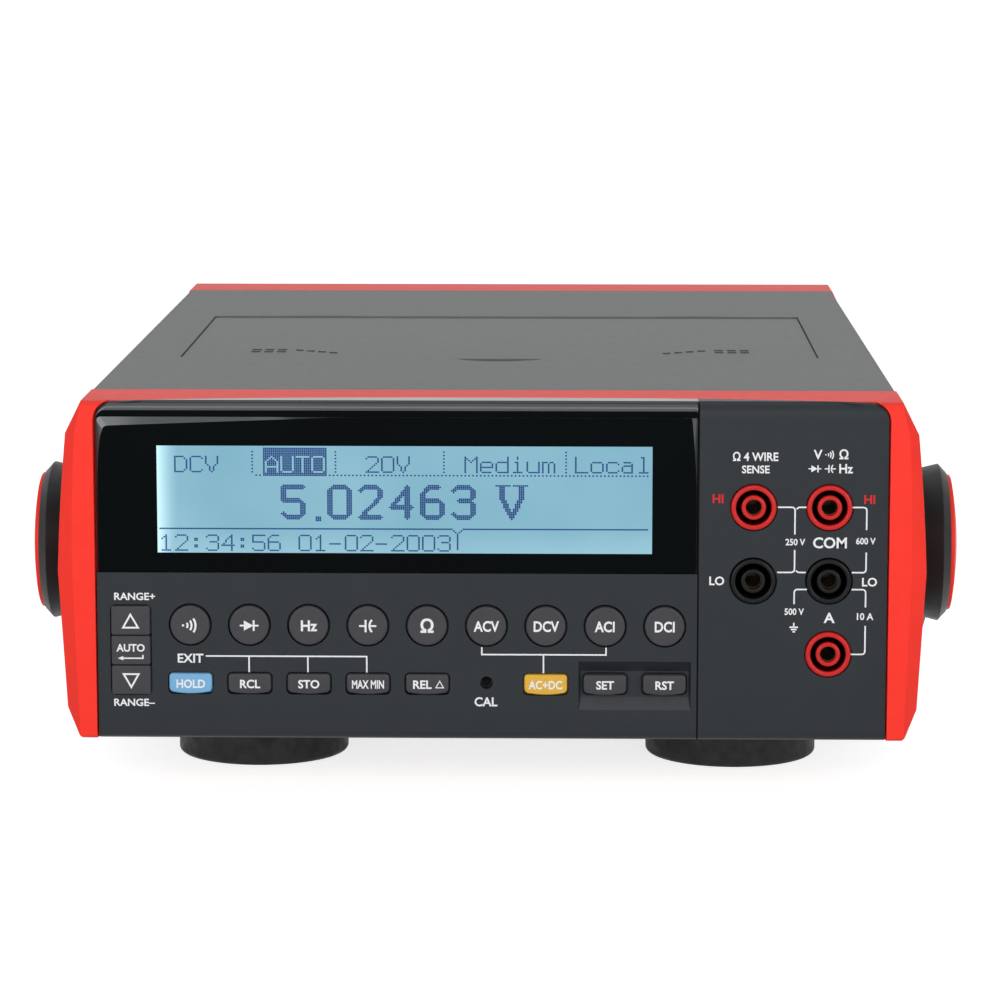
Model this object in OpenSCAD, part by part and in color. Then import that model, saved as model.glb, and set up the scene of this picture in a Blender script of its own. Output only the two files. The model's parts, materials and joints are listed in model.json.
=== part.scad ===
// Bench multimeter with carrying handle, storage lid and safety jacks.
// Millimetres, +Z up, +X to the right, front at -Y, origin on the bench below the middle of the case.

/* [Case] */
// Depth over the front and rear bezels
depth = 310; // [290:1:340]
// Height of the top face above the bench
height = 105; // [103:0.5:115]
// Height of the feet, from the bench to the underside
foot_h = 17.4; // [16.4:0.2:19]
// Width of the flat top
top_w = 210; // [209:0.5:216]
// How far the shoulders stand out past the flat top
shoulder_out = 3.7; // [2:0.1:4.5]
// Height of the slanted shoulder below the top
shoulder_h = 8.5; // [6:0.1:10]
// Height of the slanted sill above the underside
sill_h = 8.1; // [6:0.1:10]
// Extra bulge of the sides between sill and shoulder
side_bulge = 2.2; // [1:0.1:2.3]
// Wall thickness of the case shells
wall = 2.5; // [2:0.1:3]
// Height of the top cover, from its top face to the split line
cover_h = 21; // [18:0.5:23]
// How far the case shells are set in behind the bezels
step_in = 0.5; // [0.2:0.1:1]
// Width of the ventilation slots
vent_w = 2.4; // [1.6:0.2:3]
// Length of the ventilation slots
vent_l = 30; // [16:1:36]
// Distance between ventilation slots
vent_pitch = 7; // [5:0.5:9]
// Distance from the split line down to the ventilation slots
vent_down = 8; // [5:0.5:12]

/* [Bezels] */
// Depth of each bezel from front to back
bezel_d = 25; // [20:0.5:32]
// Depth of the outer edge of each bezel, chamfered at the sides and rolled above and below
bevel_d = 2.6; // [1.5:0.1:3]
// Width of the chamfer where the sides are widest
bevel_in = 4; // [2:0.1:4.4]
// How far the rolled edge comes down from the top
bevel_top = 1.6; // [1:0.1:4]
// How far the rolled edge comes up from the underside
bevel_base = 1.2; // [0.8:0.1:3.4]
// Width of the ledge that carries the panels, on the sides
ledge_w = 2.4; // [2:0.1:2.8]
// Height of the ledge at the top and bottom
ledge_h = 4.2; // [3:0.1:5]

/* [Front panel] */
// Width of the bezel's cheeks beside the front plates
cheek_w = 4.1; // [3.8:0.1:4.4]
// Set-back of the plates behind the front edge of the bezel
panel_back = 0.8; // [0.8:0.1:1.4]
// Thickness of the front plates
panel_t = 2.4; // [2.2:0.1:2.8]
// Radius of the front plates' upper corners
panel_r = 4.5; // [3:0.1:6]
// Radius of the front plates' lower corners
panel_foot_r = 0.7; // [0.5:0.1:3]
// How far the plates' rolled edge comes down from the top
roll_top = 4; // [3:0.1:5]
// How far the plates' rolled edge comes up from the underside
roll_base = 2.4; // [1.5:0.1:3.4]
// Gap between the front plates and the bezel, and at the seam
seam = 0.4; // [0.2:0.05:0.6]
// Width of the terminal plate
terminal_w = 47.9; // [46:0.1:49.6]
// Distance from the round keys up to the glossy lens
lens_over = 8.5; // [8:0.1:9.5]
// Thickness of the plate behind the lens
back_plate_t = 1.8; // [1.4:0.1:2.2]

/* [Display] */
// Margin from the right edge of the lens to the visible display
lcd_right = 11.6; // [9:0.1:15]
// Margin from the lower edge of the lens to the visible display
lcd_up = 5; // [4.2:0.1:8]
// Margin from the left edge of the panel to the visible display
lcd_in = 15.7; // [14.6:0.1:17.6]
// Margin from the top of the panel to the visible display
lcd_down = 11.2; // [10.2:0.1:12.2]
// Border of the display glass round the visible area
lcd_border = 2.2; // [1.5:0.1:2.6]

/* [Keys] */
// Distance from the last key column to the seam
key_end = 8.66; // [8:0.02:9.6]
// Distance from the left edge of the panel to the first column
key_in = 23.8; // [23:0.1:24.6]
// Height of the round keys' row above the underside
round_row_up = 29.9; // [29:0.1:31]
// Height of the oblong keys' row above the underside
oblong_row_up = 14.7; // [14:0.1:15.4]
// Diameter of a round key
round_key_d = 10.4; // [9:0.1:11]
// Width of an oblong key
oblong_w = 11; // [9.5:0.1:11.6]
// Height of an oblong key
oblong_h = 5.2; // [4.6:0.1:6]
// Width of the stacked range keys
range_w = 9.9; // [9:0.1:10.4]
// Height of one stacked range key
range_h = 7.35; // [6.8:0.05:7.5]
// Gap between two stacked keys
range_gap = 0.4; // [0.3:0.05:0.5]
// Distance from the left edge of the panel to the stacked keys
range_in = 3.6; // [3.4:0.1:4.2]
// Height of the stack's middle above the underside
range_up = 23.3; // [22.8:0.1:24]
// How far the keys stand out of the plates
key_proud = 0.8; // [0.4:0.1:0.8]
// Travel of a key
key_travel = 1.2; // [0.8:0.1:1.4]
// Gap round a key
key_gap = 0.35; // [0.25:0.05:0.5]
// Depth of the pocket round the two taller keys
pocket_deep = 1.1; // [0.6:0.1:1.2]
// Margin of the pocket round the two taller keys
pocket_margin = 1.3; // [0.9:0.1:1.5]
// Diameter of the calibration pin hole
cal_d = 3.3; // [2.6:0.1:3.8]
// Travel of the calibration button
cal_travel = 0.3; // [0.2:0.05:0.5]

/* [Jacks] */
// Bore of a jack's contact sleeve, for 4 mm test plugs
plug_d = 4; // [4:0.1:4.4]
// Outer diameter of a jack's collar
collar_d = 11.6; // [10.8:0.1:12.4]
// Inner diameter of a jack's collar
collar_bore = 8.7; // [8.4:0.1:9]
// Outer diameter of the insulating tube inside a jack
tube_d = 6.2; // [6:0.1:6.6]
// Wall of the metal sleeve
sleeve_t = 0.5; // [0.4:0.05:0.6]
// Length of the metal sleeve
sleeve_l = 17; // [14:0.5:20]
// Distance of the metal sleeve behind the mouth
sleeve_back = 2.5; // [2:0.1:4]
// How far the jacks' middle lies left of the terminal plate's middle
jack_off = 0.5; // [0:0.1:1.3]
// Distance between the two columns of jacks
jack_dx = 19.3; // [18.6:0.1:19.8]
// Distance between two rows of jacks
jack_dz = 18.95; // [18:0.05:20]
// Height of the lowest jack above the underside
jack_up = 22.8; // [22:0.1:25]

/* [Lid] */
// Width of the storage lid
lid_w = 177; // [166:0.5:180]
// Depth of the storage lid
lid_l = 107.4; // [96:0.2:112]
// Distance from the front of the case to the lid
lid_back = 98.2; // [92:0.2:104]
// Thickness of the lid
lid_t = 2.4; // [2:0.1:2.8]
// Gap round the lid
lid_gap = 0.4; // [0.3:0.05:0.6]
// Radius of the lid's rear edge, round its hinge
lid_edge_r = 2; // [1.8:0.1:2.2]
// Depth of the storage tray below the lid
tray_deep = 29; // [18:0.5:32]
// Width of the rim that the lid lies on
tray_rim = 3.6; // [3:0.1:5]
// Wall of the storage tray
tray_wall = 2; // [1.5:0.1:2.5]
// Diameter of the lid's hinge pins
hinge_pin_d = 2; // [1.6:0.1:2.2]
// Half width of the finger notch
notch_half = 14.5; // [10:0.5:20]
// Depth of the finger notch, front to back
notch_out = 9; // [7:0.5:12]
// Depth of the finger notch below the top
notch_deep = 7; // [5.5:0.5:9]
// Distance of the reliefs behind the lid from the middle
relief_x = 57; // [40:1:66]
// How far the reliefs behind the lid reach back
relief_out = 1.2; // [0.8:0.1:2]

/* [Handle] */
// Distance from the front of the case to the handle's pivots
hub_back = 52; // [50:0.5:56]
// Distance from the split line down to the handle's bosses
hub_down = 3.4; // [2:0.1:5]
// Radius of the handle's round ends
hub_r = 21; // [19:0.1:21.5]
// How much smaller the bosses on the case are than the handle's round ends
boss_in = 1.4; // [0.7:0.1:2]
// Gap between the case's widest part and the handle's arms
arm_gap = 0.8; // [0.6:0.1:1.6]
// Thickness of the arms
arm_t = 3.2; // [2.8:0.1:4]
// Thickness of the handle's round ends
hub_t = 9.1; // [8.6:0.1:10]
// Distance from the pivots to the middle of the grip
grip_reach = 87; // [85:0.5:88]
// Thickness of the grip, along the reach
grip_t = 11; // [9:0.5:12]
// Width of the grip, across the reach
grip_w = 14; // [12:0.5:15]
// Outer corner radius of the handle
handle_corner = 10; // [8:0.5:12]
// Height of the stowed grip above the bench
stow_lift = 1.64; // [1.6:0.1:2.4]
// Width of the handle's rim round the domed caps
cap_in = 2.9; // [2.8:0.1:5]
// Height of the domed caps above the handle's face
cap_rise = 2; // [0.8:0.1:2.6]
// Diameter of the pivot screws' shoulders
pivot_d = 10; // [8:0.2:12]

/* [Feet] */
// Radius of a foot
foot_r = 23.2; // [18:0.2:24]
// Distance of the feet's centres from the middle, sideways
foot_x = 64; // [60:0.5:72]
// Distance of the feet's centres from the nearer end of the case
foot_in = 70; // [66:0.5:72]

/* [Inside] */
// Height of the circuit board above the case floor
board_up = 10; // [8:0.5:14]
// Thickness of the circuit boards
board_t = 1.6; // [1.2:0.2:2]
// Radius of the columns that take the case screws
column_r = 5; // [4.4:0.1:5.2]
// Diameter of the case screws
screw_d = 4; // [3:0.2:4.4]
// Width of the transformer core
core_w = 60; // [54:1:64]
// Height of the transformer core
core_h = 50; // [44:1:52]
// Stack of the transformer core, front to back
core_stack = 30; // [24:1:32]

/* [Rear panel] */
// Thickness of the rear panel
rear_t = 2; // [1.6:0.1:2.2]
// Distance of the mains inlet from the middle
inlet_x = 62; // [56:0.5:66]
// Height of the mains inlet's middle above the underside
inlet_up = 38; // [34:0.5:44]
// Distance of the power switch from the middle
switch_x = 22; // [18:0.5:28]
// Distance of the serial connector from the middle
serial_x = 55; // [48:0.5:62]
// Height of the power switch and the serial connector above the underside
ports_up = 38; // [34:0.5:44]
// Travel of the fuse drawer
drawer_travel = 18; // [10:0.5:19]
// Tilt of the power rocker to each side
rocker_tilt = 9; // [6:0.5:10]

/* [Hidden] */
$fn = 48;
eps = 0.01;
touch = 0.3;                 // air between pieces that move apart
run_fit = 0.05;              // radial clearance of a shaft in its bearing

front_y = -depth / 2;
rear_y = depth / 2;
base_z = foot_h;
top_z = height;
half_top = top_w / 2;
top_in = 0.5;                // the flat top ends this far inside top_w / 2
base_out = 0.9;              // the slanted sill meets the underside this far past the top's edge
base_edge = 0.8;             // height of the small facet along the underside
shoulder_half = half_top + shoulder_out;
sill_half = shoulder_half + 0.4;
widest_half = (shoulder_half + sill_half) / 2 + side_bulge;
split_z = top_z - cover_h;
shell_front = front_y + bezel_d;
shell_rear = rear_y - bezel_d;
side_steps = 8;
vent_z1 = split_z - vent_down;
vent_back = 60;              // from the rear bezel to the middle of the side slots

panel_x = half_top - cheek_w;
face_y = front_y + panel_back;
plate_rear = face_y + panel_t;
plate_edge = 0.2;            // the plates end this far below the top
plate_z0 = base_z;
plate_z1 = top_z - plate_edge;
seam_x = panel_x - terminal_w;
key_plate_x1 = seam_x - seam;
seam_lip = 0.5;              // depth of the lip that closes the seam from behind
open_x = panel_x - ledge_w;
open_z0 = plate_z0 + ledge_h;
open_z1 = plate_z1 - ledge_h;
back_rear = plate_rear + back_plate_t;
roll_y = panel_t - 0.1;      // the plates' rolled edges run over this depth

glass_gap = 0.3;             // between the display glass and its window, and the lens
carrier_side = 1.6;          // overlap of the display's circuit board behind the window
carrier_t = 1.6;

key_face = face_y - key_proud;
flange_y = plate_rear + touch;
flange_t = 1;
flange_out = 0.4;            // the flange behind a key is this much larger than its hole
key_rear = flange_y + flange_t;
key_edge = 0.5;              // rounding of a key's front edges
mat_front = key_rear + key_travel + touch;
mat_t = 1;
dome_h = 0.6;
board_front = mat_front + mat_t + dome_h;
COLUMNS = 9;
key_pitch = (seam_x - key_end + panel_x - key_in) / (COLUMNS - 1);
function column_x(i) = -panel_x + key_in + i * key_pitch;
round_z = base_z + round_row_up;
oblong_z = base_z + oblong_row_up;
lens_z0 = round_z + round_key_d / 2 + lens_over;
lcd_x0 = -panel_x + lcd_in;
lcd_x1 = key_plate_x1 - lcd_right;
lcd_z0 = lens_z0 + lcd_up;
lcd_z1 = plate_z1 - lcd_down;
range_x = -panel_x + range_in + range_w / 2;
range_z = base_z + range_up;
function range_key_z(i) = range_z + (i - 1) * (range_h + range_gap);
pocket_x0 = column_x(7) - oblong_w / 2 - pocket_margin;
pocket_x1 = column_x(8) + oblong_w / 2 + pocket_margin;
pocket_z0 = oblong_z - oblong_h / 2 - 3.2 * pocket_margin;
pocket_z1 = oblong_z + oblong_h / 2 + 2.6 * pocket_margin;
front_boss_r = 2.2;
front_boss_in = 0.6;         // the pegs of the front panel stand this far inside the bezel
lens_lap = 3.6;              // the plate behind the lens reaches this far below it
mat_z0 = open_z0 + front_boss_in + 2 * front_boss_r + touch;
mat_z1 = lens_z0 - lens_lap - touch;
mat_x0 = -open_x + 0.5;
mat_x1 = key_plate_x1 - 2;
cal_z = oblong_z + 0.3;
cal_half = 3;                // the calibration switch is a small square block
cal_t = 3;
cal_seat = 1;                // wall left behind the calibration button
cal_r = 1;

jack_mid = seam_x + terminal_w / 2 - jack_off;
jack_x = [jack_mid - jack_dx / 2, jack_mid + jack_dx / 2];
jack_z = [base_z + jack_up, base_z + jack_up + jack_dz, base_z + jack_up + 2 * jack_dz];
jack_face = front_y + 0.1;
jack_flange_r = collar_d / 2 + 1.6;
jack_flange_t = 1.6;
jack_edge = 0.4;             // rounding of the jacks' front edges
jack_groove = 14;            // depth of the gap that takes a plug's shroud
tube_back = 0.2;             // the inner tube ends this far behind the collar
jack_rear = jack_face + sleeve_back + sleeve_l - 1;
sleeve_front = jack_face + sleeve_back;
sleeve_rear = sleeve_front + sleeve_l;
tail_r = 1.1;
tail_l = 5;
tail_gap = 0.1;

lid_x = lid_w / 2;
lid_y0 = front_y + lid_back;
lid_y1 = lid_y0 + lid_l;
lid_top = top_z - lid_gap;
axis_y = lid_y1 - lid_edge_r;
axis_z = lid_top - lid_edge_r;
lid_under = lid_top - lid_t;
rim_z = lid_under - lid_gap;
tray_z = rim_z - tray_deep;
tray_x = lid_x - tray_rim;
tray_y0 = lid_y0 + tray_rim;
tray_y1 = axis_y - lid_edge_r - lid_gap - tray_wall / 2;
tray_out = lid_gap + tray_wall;
hinge_pin_l = 8;
pin_in_lid = 4;
notch_r = (notch_half * notch_half + notch_out * notch_out) / (2 * notch_out);
notch_y = lid_y0 - lid_gap - notch_out + notch_r;
relief_half = 13;
relief_deep = 1.5;
relief_r = (relief_half * relief_half + relief_out * relief_out) / (2 * relief_out);

hub_y = front_y + hub_back;
boss_r = hub_r - boss_in;
hub_z = split_z - hub_down - boss_r;
cap_r = hub_r - cap_in;
stow_angle = asin((hub_z - stow_lift - grip_w / 2) / grip_reach);
arm_x0 = widest_half + arm_gap;
arm_x1 = arm_x0 + arm_t;
hub_x1 = arm_x0 + hub_t;
hub_ridge = hub_x1 - 2.8;    // the round ends are widest here
hub_base_r = hub_r - 1.5;
hub_rim_r = cap_r + 0.6;
boss_x1 = arm_x0 - touch;
cap_seat = 0.6;
cap_x0 = hub_x1 - cap_seat;
cap_fit = 0.2;
head_t = 1.4;
head_gap = 0.2;
head_r = pivot_d / 2 + 2.6;
head_x0 = cap_x0 - head_gap - head_t;
arm_end_r = grip_w / 2;
thread_r = pivot_d / 2 - 1.5;
thread_l = 12;

floor_z = base_z + wall;
board_z = floor_z + board_up;
screw_x = half_top - wall - column_r + 0.6;
screw_y = [shell_front + 15, shell_rear - 15];
screw_head_r = screw_d / 2 + 1.6;
screw_head_t = 2.4;
screw_sink = 3;
screw_up = split_z + 9;
board_side = 5.1;            // from the screw columns to the main board
board_back = 64;             // room behind the main board, for the transformer
board_x = screw_x - column_r - board_side;
board_y0 = shell_front + 12;
board_y1 = shell_rear - board_back;
standoff_in = 8;
standoff_r = 3.4;
core_in = 26;                // from the board's left edge to the transformer's middle
core_x = -board_x + core_in;
core_y = shell_rear - 32;
core_z = floor_z + 2.2;
leg = core_w / 6;
coil_gap = 0.3;
relay_w = 10;
relay_l = 20;
relay_h = 11;
relay_pitch = 13;
relay_in = 60;               // from the board's right edge to the first relay
can_r = 7;
can_h = 24;
can_pitch = 20;
can_in = 18;                 // from the board's left edge to the first capacitor

rear_in = 3.5;               // the rear panel lies this far inside the bezel's rear edge
rear_face = rear_y - rear_in;
rear_plate_y = rear_face - rear_t;
rear_x = panel_x - 0.6;
rear_z0 = base_z + 2.9;
rear_z1 = top_z - 2.8;
inlet_z = base_z + inlet_up;
inlet_w = 28;
inlet_hh = 37;
inlet_flange = 2;
inlet_flange_t = 2.4;
inlet_deep = 29;
socket_w = 24;
socket_h = 16.6;
socket_deep = 16;
socket_up = 8;
socket_cut = 4.5;
pin_w = 2;
pin_h = 4;
pin_dx = 7;
pin_out = 13.5;
inlet_fit = 0.2;             // air between the inlet and its cut-out
drawer_w = 22;
drawer_h = 8.4;
drawer_deep = drawer_travel + 4;
drawer_down = 10.6;
drawer_end = 0.6;
drawer_face = 0.6;           // the drawer's face stands this far out
fuse_r = 2.5;
fuse_dx = 5;
fuse_l = drawer_deep - 2;
rocker_w = 11;
rocker_h = 17;
rocker_back = 4;
rocker_front = 5.6;
rocker_in = 4;               // the rocker's axis lies this far behind the panel's face
rocker_room = 2.5;
frame_w = 15;
frame_h = 21;
frame_lip = 1;
frame_face = 1.6;
frame_deep = 14;
ports_z = base_z + ports_up;
plug_half = 8.2;             // half width of the serial connector's D-shaped shell, below
plug_slant = 1;              // the shell is this much wider above, on each side
plug_hh = 4;
plug_out = 3;
plug_deep = 8;
flange_half = 15.4;
flange_hh = 6.2;
serial_t = 0.8;
rear_vent_down = 14;         // from the rear panel's top edge to the middle of its slots
rear_vent_half = 9;
rear_vent_z = rear_z1 - rear_vent_down;

KEY_NAMES = [
    "key_continuity", "key_diode", "key_frequency", "key_capacitance", "key_resistance",
    "key_ac_volts", "key_dc_volts", "key_ac_current", "key_dc_current",
    "key_hold", "key_recall", "key_store", "key_max_min", "key_relative",
    "key_ac_plus_dc", "key_set", "key_reset",
    "key_range_down", "key_auto", "key_range_up"];
OBLONG_COLUMNS = [0, 1, 2, 3, 4, 6, 7, 8];
ROUND_COUNT = COLUMNS;
OBLONG_COUNT = len(OBLONG_COLUMNS);

case_grey = "#5f6163";
panel_grey = "#393d3f";
bezel_red = "#f8463a";
black = "#1c1c1e";

// ---- shapes ----

// Extrudes an outline drawn in X and Z from y0 to y1.
module along_y(y0, y1) {
    translate([0, y1, 0]) rotate([90, 0, 0]) linear_extrude(y1 - y0) children();
}

// Extrudes an outline drawn in Y and Z from x0 to x1.
module along_x(x0, x1) {
    translate([x0, 0, 0]) rotate([90, 0, 90]) linear_extrude(x1 - x0) children();
}

// Extrudes an outline drawn in X and Y from z0 to z1.
module along_z(z0, z1) {
    translate([0, 0, z0]) linear_extrude(z1 - z0) children();
}

// A cylinder along Y from y0 to y1.
module rod_y(x, z, r, y0, y1) {
    translate([x, y1, z]) rotate([90, 0, 0]) cylinder(r = r, h = y1 - y0);
}

// A cylinder along X from x0 to x1.
module rod_x(y, z, r, x0, x1) {
    translate([x0, y, z]) rotate([0, 90, 0]) cylinder(r = r, h = x1 - x0);
}

// A block given by its lowest and highest corners.
module block(a, b) {
    translate(a) cube(b - a);
}

function arc(cx, cy, r, a0, a1, n) =
    [for (i = [0:n]) [cx + r * cos(a0 + (a1 - a0) * i / n), cy + r * sin(a0 + (a1 - a0) * i / n)]];

// A rectangle with rounded corners, as points.
function round_rect(x0, y0, x1, y1, r, n = 5) = concat(
    arc(x1 - r, y0 + r, r, -90, 0, n), arc(x1 - r, y1 - r, r, 0, 90, n),
    arc(x0 + r, y1 - r, r, 90, 180, n), arc(x0 + r, y0 + r, r, 180, 270, n));

// Bulge of the sides from the sill, t = 0, to the shoulder, t = 1: straight up to the middle, then
// curving in.
function bulge(t) = t < 0.5 ? 2 * t : (1 - t) * (3 - 2 * (1 - t));

// Share of the chamfer's width from the sill, t = 0, to the shoulder, t = 1.
function chamfer(t) = t < 0.5 ? 0.8 + 0.4 * t : 1.35 - 0.7 * t;

// Right half of the case's cross section, from the underside to the top.
function section_half(dx, dt, db, cut) = concat(
    [[half_top + base_out - base_edge / 2 - 0.15 * cut - dx, base_z + db],
     [half_top + base_out + base_edge / 2 - 0.15 * cut - dx, base_z + max(base_edge, db + 0.4)]],
    [for (i = [0:side_steps])
        let (t = i / side_steps,
             x = (1 - t) * sill_half + t * shoulder_half + side_bulge * bulge(t),
             z = (1 - t) * (base_z + sill_h) + t * (top_z - shoulder_h))
        [x - cut * chamfer(t) - dx, z]],
    [[half_top - top_in - dx, top_z - dt]]);

// Cross section of the case, set in by dx at the sides, dt at the top and db at the underside, with
// a chamfer that takes off up to cut.
function section(dx = 0, dt = 0, db = 0, cut = 0) =
    let (h = section_half(dx, dt, db, cut))
    concat(h, [for (i = [len(h) - 1:-1:0]) [-h[i][0], h[i][1]]]);

// A bezel's solid from its outer edge at y = 0 back to y = bezel_d, with the edge chamfered at the
// sides and rolled over above and below.
module bezel_solid() {
    slice = 0.05;
    hull() for (a = [0:15:90]) {
        y = bevel_d * (1 - cos(a));
        k = 1 - sin(a);
        along_y(y, y + slice)
            polygon(section(0, bevel_top * k, bevel_base * k, bevel_in * (1 - y / bevel_d)));
    }
    along_y(bevel_d, bezel_d) polygon(section());
}

// Outline of the front plates, grown by g, with its lower corners rounded by r.
function plate_outline(g, r) = concat(
    arc(panel_x + g - r, plate_z0 - g + r, r, -90, 0, 3),
    arc(panel_x - panel_r, plate_z1 - panel_r, panel_r + g, 0, 90, 5),
    arc(panel_r - panel_x, plate_z1 - panel_r, panel_r + g, 90, 180, 5),
    arc(r - panel_x - g, plate_z0 - g + r, r, 180, 270, 3));

// Side outline of the front plates, in Y and Z: flat face with rolled top and bottom edges.
function plate_profile() = concat(
    [[plate_rear, plate_z0]],
    [for (a = [90:-22.5:0])
        [face_y + roll_y * (1 - cos(a)), plate_z0 + roll_base * (1 - sin(a))]],
    [for (a = [0:22.5:90])
        [face_y + roll_y * (1 - cos(a)), plate_z1 - roll_top * (1 - sin(a))]],
    [[plate_rear, plate_z1]]);

// The stretch of the front plate between x0 and x1, z0 and z1.
module front_plate(x0, x1, z0, z1) {
    intersection() {
        along_y(face_y, plate_rear)
            polygon(plate_outline(0, panel_foot_r));
        along_x(x0, x1) polygon(plate_profile());
        block([x0, face_y - 1, z0], [x1, plate_rear + 1, z1]);
    }
}

// ---- case ----

module shell_outer() {
    along_y(shell_front, shell_rear) polygon(section(step_in));
}

module shell_inner() {
    along_y(shell_front - 1, shell_rear + 1) polygon(section(step_in + wall, wall, wall));
}

module side_vents(y_mid) {
    for (i = [-4:4])
        along_x(-half_top - 20, half_top + 20)
            polygon(round_rect(y_mid + i * vent_pitch - vent_w / 2, vent_z1 - vent_l,
                y_mid + i * vent_pitch + vent_w / 2, vent_z1, vent_w / 2 - eps, 3));
}

module bottom_case() color(case_grey) {
    difference() {
        union() {
            difference() {
                shell_outer();
                shell_inner();
                block([-half_top - 30, front_y, split_z], [half_top + 30, rear_y, top_z + 10]);
                side_vents(shell_rear - vent_back);
            }
            for (s = [-1, 1], y = screw_y)
                translate([s * screw_x, y, base_z + wall / 2])
                    cylinder(r = column_r, h = split_z - base_z - wall / 2);
            for (s = [-1, 1], y = [board_y0 + standoff_in, board_y1 - standoff_in])
                translate([s * (board_x - standoff_in), y, floor_z - wall / 2])
                    cylinder(r = standoff_r, h = board_z - floor_z + wall / 2);
            for (s = [-1, 1])
                block([core_x + s * (core_w / 2 - leg) - leg / 2, core_y - core_stack / 2, floor_z - 1],
                      [core_x + s * (core_w / 2 - leg) + leg / 2, core_y + core_stack / 2, core_z]);
            rod_x(hub_y, hub_z, boss_r, half_top - 1, boss_x1);
            rod_x(hub_y, hub_z, boss_r, -boss_x1, 1 - half_top);
        }
        for (s = [-1, 1], y = screw_y) {
            translate([s * screw_x, y, base_z - 1]) cylinder(r = screw_d / 2 + 0.2, h = top_z);
            translate([s * screw_x, y, base_z - 1]) cylinder(r = screw_head_r + 0.3, h = screw_sink + 1);
        }
        rod_x(hub_y, hub_z, thread_r, boss_x1 - thread_l, boss_x1 + 1);
        rod_x(hub_y, hub_z, thread_r, -boss_x1 - 1, -boss_x1 + thread_l);
    }
}

module top_cover() color(case_grey) {
    difference() {
        union() {
            difference() {
                shell_outer();
                shell_inner();
                block([-half_top - 30, front_y, base_z - 1], [half_top + 30, rear_y, split_z]);
            }
            block([-tray_x - tray_wall, tray_y0 - tray_wall, tray_z - tray_wall],
                  [tray_x + tray_wall, tray_y1 + tray_wall, rim_z]);
            block([-lid_x - tray_out - 3, lid_y0 - tray_out, rim_z - 4],
                  [lid_x + tray_out + 3, lid_y1 + tray_out, top_z - wall / 2]);
            translate([0, notch_y, top_z - notch_deep - tray_wall])
                cylinder(r = notch_r + tray_wall, h = notch_deep + tray_wall - 1);
            for (s = [-1, 1], y = screw_y)
                translate([s * screw_x, y, split_z])
                    cylinder(r = column_r, h = cover_h - wall / 2);
        }
        block([-lid_x - lid_gap, lid_y0 - lid_gap, rim_z], [lid_x + lid_gap, axis_y, top_z + 1]);
        block([-lid_x - lid_gap, axis_y - 1, axis_z], [lid_x + lid_gap, lid_y1 + lid_gap, top_z + 1]);
        rod_x(axis_y, axis_z, lid_edge_r + lid_gap, -lid_x - lid_gap, lid_x + lid_gap);
        block([-tray_x, tray_y0, tray_z], [tray_x, tray_y1, rim_z + 1]);
        translate([0, notch_y, top_z - notch_deep]) intersection() {
            cylinder(r = notch_r, h = notch_deep + 1);
            block([-notch_half - 5, -notch_r - 1, -1], [notch_half + 5, tray_y0 - notch_y, notch_deep + 2]);
        }
        for (s = [-1, 1]) intersection() {
            translate([s * relief_x, lid_y1 + lid_gap + relief_out - relief_r, top_z - relief_deep])
                cylinder(r = relief_r, h = relief_deep + 1);
            block([s * relief_x - relief_half, lid_y1, axis_z],
                  [s * relief_x + relief_half, rear_y, top_z + 1]);
        }
        for (s = [-1, 1], y = screw_y)
            translate([s * screw_x, y, split_z - 1]) cylinder(r = screw_d / 2, h = screw_up - split_z + 1);
        rod_x(axis_y, axis_z, hinge_pin_d / 2, -lid_x - hinge_pin_l + pin_in_lid, -lid_x);
        rod_x(axis_y, axis_z, hinge_pin_d / 2, lid_x, lid_x + hinge_pin_l - pin_in_lid);
    }
}

module front_bezel() color(bezel_red) {
    difference() {
        translate([0, front_y, 0]) bezel_solid();
        along_y(front_y - 1, plate_rear)
            polygon(plate_outline(seam, seam));
        along_y(plate_rear - 1, shell_front + 1)
            polygon(round_rect(-open_x, open_z0, open_x, open_z1, 3));
    }
}

module rear_bezel() color(bezel_red) {
    difference() {
        translate([0, rear_y, 0]) mirror([0, 1, 0]) bezel_solid();
        along_y(rear_plate_y, rear_y + 1)
            polygon(round_rect(-rear_x - seam, rear_z0 - seam, rear_x + seam, rear_z1 + seam, panel_r));
        along_y(shell_rear - 1, rear_plate_y + 1)
            polygon(round_rect(-open_x, open_z0, open_x, open_z1, 3));
    }
}

// ---- front ----

module oblong_hole(x, z, w, h) {
    along_y(face_y - 1, plate_rear + 1)
        polygon(round_rect(x - w / 2 - key_gap, z - h / 2 - key_gap, x + w / 2 + key_gap,
            z + h / 2 + key_gap, 1 + key_gap, 3));
}

// The pocket round the two taller keys, with slanted walls.
module pocket() {
    slant = pocket_deep / 2;
    along_z(pocket_z0, pocket_z1) polygon([
        [pocket_x0, face_y - 1], [pocket_x0, face_y], [pocket_x0 + slant, face_y + pocket_deep],
        [pocket_x1 - slant, face_y + pocket_deep], [pocket_x1, face_y], [pocket_x1, face_y - 1]]);
}

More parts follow.
